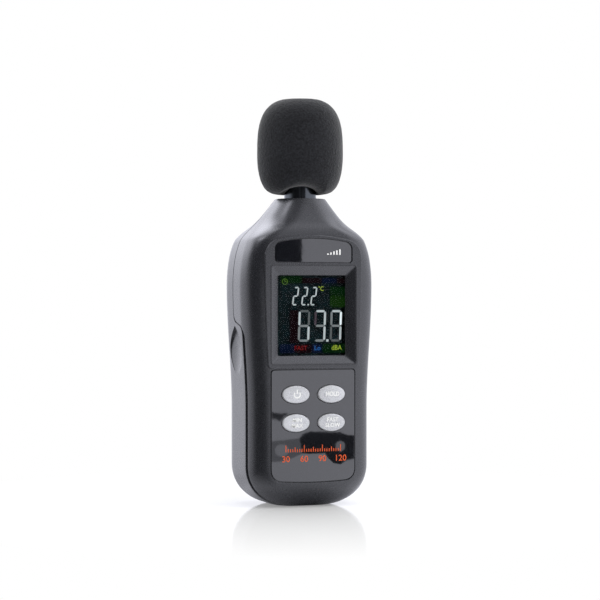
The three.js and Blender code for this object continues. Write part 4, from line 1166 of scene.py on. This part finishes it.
class METER_OT_microphone(bpy.types.Operator):
    """Turns the microphone tube"""

    bl_idname = "meter.microphone"
    bl_label = "Microphone tube"

    def execute(self, context):
        ring = TUBE_TOP - 3.0
        profile = [
            (TUBE_BORE, TUBE_BOTTOM), (TUBE_RADIUS, TUBE_BOTTOM), (TUBE_RADIUS, FLANGE_BOTTOM),
            (FLANGE_RADIUS, FLANGE_BOTTOM), (FLANGE_RADIUS, FLANGE_TOP), (TUBE_RADIUS, FLANGE_TOP),
            (TUBE_RADIUS, ring - 0.5), (TUBE_RADIUS - 0.25, ring - 0.25), (TUBE_RADIUS - 0.25, ring + 0.25),
            (TUBE_RADIUS, ring + 0.5), (TUBE_RADIUS, TUBE_TOP - 0.4), (TUBE_RADIUS - 0.12, TUBE_TOP - 0.12),
            (TUBE_RADIUS - 0.4, TUBE_TOP), (TUBE_BORE + 0.3, TUBE_TOP), (TUBE_BORE, TUBE_TOP - 0.3)]
        new_piece("tube", turned(profile, 96), [finish("anodised aluminium")], "case",
                  ["microphone_tube"])
        return {"FINISHED"}


class METER_OT_windscreen(bpy.types.Operator):
    """Shapes the foam windscreen and opens its pores"""

    bl_idname = "meter.windscreen"
    bl_label = "Windscreen"

    def execute(self, context):
        settings = context.scene.meter_foam
        bore = TUBE_RADIUS + FIT
        bore_top = TUBE_TOP + FIT
        spacing = 0.42
        outer = []
        steps = 400
        for k in range(steps, 0, -1):
            t = math.sin(k / steps * math.pi / 2)
            radius = FOAM_RADIUS * (1 - t ** FOAM_FOOT_POWER) ** (1 / FOAM_FOOT_SQUARE)
            if radius > bore:
                outer.append(Vector((radius, mix(FOAM_WAIST, FOAM_BOTTOM, t))))
        for k in range(steps + 1):
            t = math.sin(k / steps * math.pi / 2)
            radius = FOAM_RADIUS * (1 - t ** FOAM_DOME_POWER) ** (1 / FOAM_DOME_POWER)
            outer.append(Vector((radius, mix(FOAM_WAIST, FOAM_TOP, t))))
        profile = [Vector((0, bore_top)), Vector((bore - 0.3, bore_top)), Vector((bore, bore_top - 0.3))]
        profile += [Vector((bore, z)) for z in (140.0, 134.0, 129.0, 126.0, FOAM_BOTTOM + 0.6)]
        profile += [Vector((bore + 0.2, FOAM_BOTTOM + 0.15)), Vector((bore + 0.6, FOAM_BOTTOM))]
        for point in outer:
            if (point - profile[-1]).length >= spacing and point.x > bore + 0.8:
                profile.append(point)
        profile = [p for p in profile if p.x > 0.05 or p.y < bore_top + 1]
        profile.append(Vector((0, FOAM_TOP)))
        made = turned([(p.x, p.y) for p in profile], 256)
        bmesh.ops.recalc_face_normals(made, faces=made.faces)
        made.normal_update()
        size = settings.pore_size / M
        depth = settings.pore_depth / M
        moves = []
        for vert in made.verts:
            radius = math.hypot(vert.co.x, vert.co.y + COLLAR_FORWARD)
            if radius < bore + 0.5 and vert.co.z < bore_top + 1:
                continue
            cells = noise.voronoi(vert.co / size)[0]
            pit = 1 - unit(cells[0] / 0.45)
            bump = 0.5 - 0.5 * noise.noise(vert.co / (1.7 * size))
            moves.append((vert, vert.normal * -depth * (0.7 * pit + 0.5 * bump)))
        for vert, move in moves:
            vert.co += move
        for vert in made.verts:
            self.arch(vert)
        foam = new_piece("foam_ball", made, [finish("polyurethane foam")], "windscreen",
                         ["windscreen_foam"], 180)
        return {"FINISHED"}

    def arch(self, vert):
        """Lifts the foam's front edge a little around the tube, where a thumb has pushed it on."""
        ahead = -(vert.co.y + COLLAR_FORWARD)
        across_tube = abs(vert.co.x - FOAM_ARCH_ASIDE) / FOAM_ARCH_HALF
        if ahead > 0 and across_tube < 1:
            share = unit(1 - (vert.co.z - FOAM_BOTTOM) / FOAM_ARCH_FADE)
            vert.co.z += FOAM_ARCH_LIFT * share * (1 - across_tube ** 2) * unit(ahead / FOAM_ARCH_EASE)


class METER_OT_cells(bpy.types.Operator):
    """Makes the three cells and their contacts"""

    bl_idname = "meter.cells"
    bl_label = "Cells and contacts"

    def execute(self, context):
        finishes = [finish("shrink sleeve"), finish("nickel plate"), finish("sleeve band")]
        nub_end = CONTACT_THICKNESS + CONTACT_NUB + FIT
        for k in range(3):
            x = (k - 1) * CELL_PITCH
            shoulder = CELL_LENGTH - CELL_NUB
            profile = [
                (0, 0), (3.4, 0), (3.6, 0.1), (4.5, 0.1), (4.7, 0.02), (5.0, 0.08), (5.18, 0.3), (5.25, 0.6),
                (5.25, 31.0), (5.25, 31.05), (5.25, shoulder - 0.6), (5.18, shoulder - 0.25),
                (4.9, shoulder - 0.05), (4.6, shoulder), (4.4, shoulder - 0.15), (2.6, shoulder - 0.15),
                (2.1, shoulder - 0.05), (1.95, shoulder + 0.1), (1.9, CELL_LENGTH - 0.25),
                (1.7, CELL_LENGTH - 0.05), (1.4, CELL_LENGTH), (0, CELL_LENGTH)]
            made = turned(profile, 56, 0.0, 0.0)
            for face in made.faces:
                middle = face.calc_center_median()
                radius = math.hypot(middle.x, middle.y)
                if radius < 4.55 and (middle.z < 1 or middle.z > shoulder - 0.3):
                    face.material_index = 1
                elif middle.z > 31.0:
                    face.material_index = 2
            if k % 2 == 0:
                bmesh.ops.translate(made, vec=(x, CELL_Y, BAY_TOP - nub_end - CELL_LENGTH), verts=made.verts)
            else:
                bmesh.ops.rotate(made, matrix=Matrix.Rotation(math.pi, 3, "X"), verts=made.verts)
                bmesh.ops.translate(
                    made, vec=(x, CELL_Y, BAY_BOTTOM + nub_end + CELL_LENGTH), verts=made.verts)
            new_piece(f"battery_{k + 1}", made, finishes, "case", [f"cell_{k + 1}"])
        for name, cells, end in (("contact_positive", (0,), 1), ("contact_bridge_upper", (1, 2), 1),
                                 ("contact_bridge_lower", (0, 1), -1), ("contact_negative", (2,), -1)):
            self.contact(name, cells, end)
        return {"FINISHED"}

    def contact(self, name, cells, end):
        """A plate across some cells, with a stud or a coil spring for each."""
        outer = BAY_TOP if end > 0 else BAY_BOTTOM
        inner = outer - end * CONTACT_THICKNESS
        reach = CELL_RADIUS - CELL_SPACE
        left = (cells[0] - 1) * CELL_PITCH - reach
        right = (cells[-1] - 1) * CELL_PITCH + reach
        low, high = sorted((outer, inner))
        made = block((left, CELL_Y - CONTACT_DEPTH / 2, low), (right, CELL_Y + CONTACT_DEPTH / 2, high))
        bmesh.ops.bevel(made, geom=made.edges[:], offset=0.08, segments=2, profile=0.5, affect="EDGES",
                        material=-1)
        for k in cells:
            x = (k - 1) * CELL_PITCH
            if (k % 2 == 0) == (end > 0):
                stud = [(0, 0), (CONTACT_NUB_RADIUS, 0), (CONTACT_NUB_RADIUS, 0.1), (1.3, 0.24), (0.8, 0.3),
                        (0, 0.3)]
                stud = [(r, inner - end * h + (0.05 * end if h == 0 else 0)) for r, h in stud]
                turned(stud, 32, x, CELL_Y, made)
            else:
                self.spring(made, x, inner, end)
        new_piece(name + "_spring", made, [finish("nickel plate")], "case", [name])

    def spring(self, made, x, inner, end):
        """A conical coil from the plate to the cell."""
        wire = 0.3
        turns = 3.5
        steps = 84
        height = SPRING_ROOM - 2 * wire
        rings = []
        for k in range(steps + 1):
            share = k / steps
            angle = share * turns * math.tau
            rise = height * unit((share - 0.12) / 0.76)
            radius = mix(SPRING_BASE_RADIUS - wire, SPRING_TIP_RADIUS - wire, share)
            middle = Vector((x + radius * math.cos(angle), CELL_Y + radius * math.sin(angle),
                             inner - end * (rise + wire * 0.9)))
            out = Vector((math.cos(angle), math.sin(angle), 0))
            rings.append([middle + wire * (out * math.cos(a) + Vector((0, 0, math.sin(a))))
                          for a in (j / 10 * math.tau for j in range(10))])
        loft(rings, made)


class METER_OT_inside(bpy.types.Operator):
    """Gives the pieces that keep their solids a finish of their own"""

    bl_idname = "meter.inside"
    bl_label = "Window, board and fittings"

    def execute(self, context):
        finishes = {
            "display_window": "coated acrylic", "lcd_panel": "display glass", "backlight": "diffuser acrylic",
            "display_frame": "moulded black plastic", "contact_strip_upper": "silicone rubber",
            "contact_strip_lower": "silicone rubber", "microphone_boot": "silicone rubber",
            "controller_chip": "epoxy moulding compound", "amplifier_chip": "epoxy moulding compound",
            "temperature_sensor": "epoxy moulding compound", "capacitor": "moulded black plastic",
            "crystal": "nickel plate", "microphone_grille": "nickel plate",
            "microphone_capsule": "nickel plate", "calibration_trimmer": "blue nylon",
            "microphone_lead_red": "red PVC", "battery_lead_red": "red PVC",
            "microphone_lead_black": "moulded black plastic", "battery_lead_black": "moulded black plastic",
        }
        for name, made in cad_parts.items():
            if name.startswith(("switch_", "plunger_")):
                finishes[name] = "moulded black plastic"
            if "screw" in name:
                finishes[name] = "nickel plate"
            if name in finishes:
                made.data.materials.clear()
                made.data.materials.append(finish(finishes[name]))
        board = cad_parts["main_board"]
        board.data.materials.clear()
        board.data.materials.append(self.solder_mask())
        return {"FINISHED"}

    def solder_mask(self):
        """Solder mask over copper: a green lacquer with paler tracks and tinned pads showing through."""
        material = bpy.data.materials.new("solder mask")
        material.use_nodes = True
        tree = material.node_tree
        tree.nodes.clear()
        place = add_node(tree, "ShaderNodeTexCoord").outputs["Object"]
        tracks = add_node(tree, "ShaderNodeTexBrick", {
            "Vector": add_node(tree, "ShaderNodeMapping", {
                "Vector": place, "Rotation": (math.pi / 2, 0, 0)}).outputs["Vector"],
            "Scale": 1 / (4.0 * M), "Mortar Size": 0.05, "Color1": srgb("#17492c"), "Color2": srgb("#1b5534"),
            "Mortar": srgb("#2c7a4a")}).outputs["Color"]
        pads = add_node(tree, "ShaderNodeTexVoronoi", {
            "Vector": place, "Scale": 1 / (3.0 * M)}).outputs["Distance"]
        share = add_node(tree, "ShaderNodeMapRange", {
            "Value": pads, "From Min": 0.14, "From Max": 0.12}).outputs["Result"]
        tint = add_node(tree, "ShaderNodeMix", {
            "Factor": share, 6: tracks, 7: srgb("#b9bdb6")}, data_type="RGBA")
        relief = add_node(tree, "ShaderNodeBump", {"Height": pads, "Distance": 0.02 * M}).outputs["Normal"]
        shader = add_node(tree, "ShaderNodeBsdfPrincipled", {
            "Base Color": tint.outputs[2], "Metallic": share, "Roughness": 0.32, "Normal": relief})
        add_node(tree, "ShaderNodeOutputMaterial", {"Surface": shader.outputs["BSDF"]})
        return material


SENSOR_WIDTH = 36.0
LAMP_AIM = 0.08
FLOOR_REACH = 4.0
FLOOR_LEAST_WHITE = 0.25
FILL = 0.5
BRIGHTEST = 6.0
# What glossy surfaces mirror, as degrees round the meter and brightness, at four heights in the studio.
HORIZON = ((-180, 1.5), (-165, 1.4), (-150, 1.1), (-105, 0.95), (-85, 0.5), (-75, 0.1), (-60, 0.04),
           (-25, 0.05), (-8, 0.5), (8, 0.85), (30, 1.0), (100, 1.0), (140, 0.85), (180, 1.5))
LOW_BOXES = ((-180, 2.5), (-150, 3.0), (-120, 3.4), (-103, 2.3), (-92, 0.3), (-82, 0.05), (-30, 0.04),
             (0, 0.4), (40, 0.75), (60, 1.1), (90, 1.4), (150, 1.2), (180, 2.5))
HIGH_BOXES = ((-180, 5.5), (-145, 5.2), (-130, 2.8), (-115, 1.3), (-90, 1.7), (-76, 4.6), (-66, 4.6),
              (-55, 0.5), (0, 0.22), (20, 0.75), (40, 1.1), (65, 1.9), (100, 2.1), (125, 0.7), (180, 5.5))
CEILING = ((-180, 2.6), (-140, 2.6), (-100, 1.8), (-70, 0.8), (-50, 0.35), (-25, 0.15), (5, 0.4), (60, 1.1),
           (180, 2.6))
BANDS = ((0.0, HORIZON), (0.5, LOW_BOXES), (0.8, HIGH_BOXES), (0.96, CEILING))
# Painted light and shade on the table close to the meter, as glossy surfaces see it: degrees round the meter
# and brightness.
NEAR_TABLE_LIGHT_AND_SHADE = ((-180, 0.3), (-125, 0.9), (-100, 0.75), (-40, 0.62), (0, 0.5), (20, 0.55), (45, 1.2),
              (100, 1.2), (130, 1.0), (155, 0.25), (180, 0.3))


def round_card(x, z, width, height):
    """Outline of a round card."""
    return tuple((x + width * math.sin(k / 3), z + height * math.cos(k / 3)) for k in range(19))


# Cards on the table that only gloss shows: brightness, height, and outline as it shows in the front face.
TABLE_CARDS = (
    (0.02, 1.0, ((-5.6, 27.4), (-4.0, 29.1), (-1.5, 29.9), (6.0, 29.5), (11.5, 29.3), (14.4, 28.1),
                 (17.7, 27.8), (17.7, 18.7), (14.0, 18.0), (11.5, 16.4), (8.5, 17.2), (6.5, 19.1),
                 (4.8, 21.1), (-4.4, 21.1))),
    (0.42, 0.8, ((-17.7, 26.2), (-5.6, 27.4), (-4.4, 21.1), (-9.8, 19.1), (-13.5, 18.4), (-17.7, 18.4))),
    (0.05, 1.0, ((-17.7, 38.1), (-14.0, 37.2), (-10.2, 37.5), (-12.3, 35.8), (-13.5, 34.0), (-15.6, 35.2),
                 (-17.7, 35.0))),
    (0.8, 1.4, round_card(-12.9, 22.7, 3.0, 2.4)),
    (0.7, 1.4, round_card(11.5, 23.8, 2.1, 2.0)),
)
UPRIGHT_CARD_Y = -0.9
UPRIGHT_CARD = ((-0.3, 0.108), (0.318, 0.108), (0.318, 0.4), (-0.3, 0.4))
STUDIO_TINT = (0.98, 0.99, 1.09)
LAMPS = (
    ("key", 40, 30, 0.95, 0.6, 0.7, 5.0),
    ("top", 60, 80, 0.9, 0.9, 0.9, 6.0),
)


def surround(tree, way, levels):
    """Brightness of the studio in a direction, read round the horizon."""
    parts = add_node(tree, "ShaderNodeSeparateXYZ", {"Vector": way})
    ahead = add_node(tree, "ShaderNodeMath", {
        0: parts.outputs["Y"], 1: -1.0}, operation="MULTIPLY").outputs[0]
    turn = add_node(tree, "ShaderNodeMath", {
        0: parts.outputs["X"], 1: ahead}, operation="ARCTAN2").outputs[0]
    share = add_node(tree, "ShaderNodeMapRange", {
        "Value": turn, "From Min": -math.pi, "From Max": math.pi}).outputs["Result"]
    ramp = add_node(tree, "ShaderNodeValToRGB", {"Fac": share})
    stops = ramp.color_ramp.elements
    while len(stops) < len(levels):
        stops.new(0.5)
    for stop, (degrees, level) in zip(stops, levels):
        stop.position = (degrees + 180) / 360
        stop.color = tuple(level / BRIGHTEST * tint for tint in STUDIO_TINT) + (1,)
    return ramp.outputs["Color"]


def staged(name, bm):
    """Turns a mesh into a piece of the stage."""
    mesh = bpy.data.meshes.new(name)
    bm.to_mesh(mesh)
    bm.free()
    made = bpy.data.objects.new(name, mesh)
    bpy.context.scene.collection.objects.link(made)
    return made


class METER_OT_stage(bpy.types.Operator):
    """Sets up the floor, the studio light and the camera"""

    bl_idname = "meter.stage"
    bl_label = "Stage"

    def execute(self, context):
        settings = context.scene.meter_stage
        self.camera(context, settings)
        self.world(context)
        self.floor(settings)
        self.cards(context.scene.camera.location)
        self.lamps()
        context.scene.view_settings.view_transform = "Standard"
        return {"FINISHED"}

    def camera(self, context, settings):
        """A camera at the eye's height, turned about the meter."""
        data = bpy.data.cameras.new("camera")
        data.sensor_width = SENSOR_WIDTH
        data.lens = SENSOR_WIDTH * settings.distance / settings.view_width
        data.clip_start = 0.01
        made = bpy.data.objects.new("camera", data)
        context.scene.collection.objects.link(made)
        turn = settings.azimuth
        right = Vector((math.cos(turn), math.sin(turn), 0))
        away = Vector((math.sin(turn), -math.cos(turn), 0))
        made.location = (away * settings.distance + right * settings.aside
                         + Vector((0, 0, settings.eye_height)))
        made.rotation_euler = (math.pi / 2, 0, turn)
        context.scene.camera = made

    def world(self, context):
        """White for the camera, an even light for matt surfaces, and listed bands for glossy ones."""
        world = bpy.data.worlds.new("studio")
        context.scene.world = world
        world.use_nodes = True
        tree = world.node_tree
        tree.nodes.clear()
        rays = add_node(tree, "ShaderNodeLightPath")
        way = add_node(tree, "ShaderNodeTexCoord").outputs["Generated"]
        up = add_node(tree, "ShaderNodeSeparateXYZ", {"Vector": way}).outputs["Z"]
        mirrored = surround(tree, way, HORIZON)
        for (below, _), (height, levels) in zip(BANDS, BANDS[1:]):
            share = add_node(tree, "ShaderNodeMapRange", {
                "Value": up, "From Min": below, "From Max": height}).outputs["Result"]
            mirrored = add_node(tree, "ShaderNodeMix", {
                "Factor": share, 6: mirrored, 7: surround(tree, way, levels)}, data_type="RGBA").outputs[2]
        seen = add_node(tree, "ShaderNodeBackground", {"Color": (1, 1, 1, 1), "Strength": 1.0})
        light = add_node(tree, "ShaderNodeBackground", {"Color": srgb("#f6f8fb"), "Strength": FILL})
        gloss = add_node(tree, "ShaderNodeBackground", {"Color": mirrored, "Strength": BRIGHTEST})
        shader = add_node(tree, "ShaderNodeMixShader", {
            "Fac": rays.outputs["Is Glossy Ray"], 1: light.outputs[0], 2: gloss.outputs[0]})
        whole = add_node(tree, "ShaderNodeMixShader", {
            "Fac": rays.outputs["Is Camera Ray"], 1: shader.outputs[0], 2: seen.outputs[0]})
        add_node(tree, "ShaderNodeOutputWorld", {"Surface": whole.outputs[0]})

    def floor(self, settings):
        """A wide pale table top that fades to white around the meter, with painted light and shade near the
        meter for glossy rays.
        """
        bm = bmesh.new()
        bmesh.ops.create_grid(bm, x_segments=8, y_segments=8, size=FLOOR_REACH)
        made = staged("table_top", bm)
        material = textured("white laminate", shade(settings.floor, 0.99), settings.floor, 60.0, (0.07, 0.1),
                            0.0, (1, 1, 1), 400.0)
        made.data.materials.append(material)
        tree = material.node_tree
        shader = next(n for n in tree.nodes if n.type == "BSDF_PRINCIPLED")
        output = next(n for n in tree.nodes if n.type == "OUTPUT_MATERIAL")
        place = add_node(tree, "ShaderNodeTexCoord").outputs["Object"]
        away = add_node(tree, "ShaderNodeVectorMath", {0: place}, operation="LENGTH").outputs["Value"]
        rays = add_node(tree, "ShaderNodeLightPath")
        fade = add_node(tree, "ShaderNodeMapRange", {
            "Value": away, "From Min": 0.012, "From Max": 0.16,
            "To Min": FLOOR_LEAST_WHITE}).outputs["Result"]
        fade = add_node(tree, "ShaderNodeMath", {
            0: fade, 1: rays.outputs["Is Camera Ray"]}, operation="MULTIPLY").outputs[0]
        white = add_node(tree, "ShaderNodeEmission", {"Color": (1, 1, 1, 1), "Strength": 1.0})
        # For glossy rays the table is an emission, with painted light and shade from the near-table ring
        # round the meter.
        near = add_node(tree, "ShaderNodeMapRange", {
            "Value": away, "From Min": 0.035, "From Max": 0.075}).outputs["Result"]
        ring = add_node(tree, "ShaderNodeMix", {
            "Factor": near, 6: surround(tree, place, NEAR_TABLE_LIGHT_AND_SHADE), 7: surround(tree, place, HORIZON)},
            data_type="RGBA").outputs[2]
        # Painted shadow: the mirrored light goes dark within a few millimetres of the meter's foot.
        painted_shadow_under = add_node(tree, "ShaderNodeMapRange", {
            "Value": away, "From Min": 0.008, "From Max": 0.03, "To Max": BRIGHTEST}).outputs["Result"]
        mirrored = add_node(tree, "ShaderNodeEmission", {"Color": ring, "Strength": painted_shadow_under})
        inner = add_node(tree, "ShaderNodeMixShader", {
            "Fac": rays.outputs["Is Glossy Ray"], 1: shader.outputs["BSDF"], 2: mirrored.outputs[0]})
        whole = add_node(tree, "ShaderNodeMixShader", {
            "Fac": fade, 1: inner.outputs[0], 2: white.outputs[0]})
        tree.links.new(whole.outputs[0], output.inputs["Surface"])

    def cards(self, eye):
        """Cards that only gloss shows: a few on the table, and an upright one for the nameplate."""
        shapes = []
        for level, height, outline in TABLE_CARDS:
            points = [self.mirrored_on_table(eye, x * M, z * M, height * M) for x, z in outline]
            shapes.append((level, points))
        shapes.append((0.0, [Vector((x, UPRIGHT_CARD_Y, z)) for x, z in UPRIGHT_CARD]))
        for level, outline in shapes:
            bm = bmesh.new()
            bm.faces.new([bm.verts.new(p) for p in outline])
            made = staged("card", bm)
            card = textured(f"card {level:.2f}", srgb("#060607"), srgb("#0a0a0b"), 1.0, (0.7, 0.8),
                            **{"Specular IOR Level": 0.0, "Emission Color": STUDIO_TINT + (1,),
                               "Emission Strength": level})
            made.data.materials.append(card)
            made.visible_camera = False
            made.visible_diffuse = False
            made.visible_shadow = False
            made.visible_transmission = False

    def mirrored_on_table(self, eye, x, z, height):
        """Where a look from the eye meets the table once the front face has mirrored it."""
        face = FRONT * M
        behind = Vector((eye.x, 2 * face - eye.y, eye.z))
        at = Vector((x, face, z))
        return at + (at - behind) * (z - height) / (eye.z - z)

    def lamps(self):
        """Soft lamps for matt surfaces, given as turn, rise, distance, width, tallness and strength."""
        for name, azimuth, elevation, distance, width, tall, watts in LAMPS:
            data = bpy.data.lights.new(name, "AREA")
            data.shape = "RECTANGLE"
            data.size = width
            data.size_y = tall
            data.energy = watts
            made = bpy.data.objects.new(name, data)
            bpy.context.scene.collection.objects.link(made)
            made.visible_glossy = False
            turn = math.radians(azimuth)
            rise = math.radians(elevation)
            way = Vector((math.sin(turn) * math.cos(rise), -math.cos(turn) * math.cos(rise), math.sin(rise)))
            made.location = way * distance + Vector((0, 0, LAMP_AIM))
            made.rotation_euler = way.to_track_quat("Z", "Y").to_euler()


class METER_PT_sidebar(bpy.types.Panel):
    """Lists the meter's pieces"""

    bl_idname = "METER_PT_sidebar"
    bl_label = "Sound level meter"
    bl_space_type = "VIEW_3D"
    bl_region_type = "UI"
    bl_category = "Meter"

    def draw(self, context):
        for name in GROUPS:
            settings = getattr(context.scene, name)
            for key in settings.__annotations__:
                self.layout.prop(settings, key)
        for operator in OPERATORS:
            self.layout.operator(operator.bl_idname)


OPERATORS = (
    METER_OT_front_shell, METER_OT_rear_shell, METER_OT_battery_door, METER_OT_trim, METER_OT_buttons,
    METER_OT_display, METER_OT_microphone, METER_OT_windscreen, METER_OT_cells, METER_OT_inside,
    METER_OT_stage)
GROUPS = {
    "meter_finishes": MeterFinishes, "meter_foam": MeterFoam, "meter_display": MeterDisplay,
    "meter_stage": MeterStage,
}


def register():
    """Makes the settings, the operators and the panel known."""
    for entry in (*GROUPS.values(), *OPERATORS, METER_PT_sidebar):
        bpy.utils.register_class(entry)
    for name, group in GROUPS.items():
        setattr(bpy.types.Scene, name, bpy.props.PointerProperty(type=group))


def unregister():
    """Takes them away again."""
    for name in GROUPS:
        delattr(bpy.types.Scene, name)
    for entry in reversed((*GROUPS.values(), *OPERATORS, METER_PT_sidebar)):
        bpy.utils.unregister_class(entry)


def main():
    """Builds every piece in order."""
    register()
    bpy.ops.meter.front_shell()
    bpy.ops.meter.rear_shell()
    bpy.ops.meter.battery_door()
    bpy.ops.meter.trim()
    bpy.ops.meter.buttons()
    bpy.ops.meter.display()
    bpy.ops.meter.microphone()
    bpy.ops.meter.windscreen()
    bpy.ops.meter.cells()
    bpy.ops.meter.inside()
    bpy.ops.meter.stage()


if __name__ == "__main__":
    main()
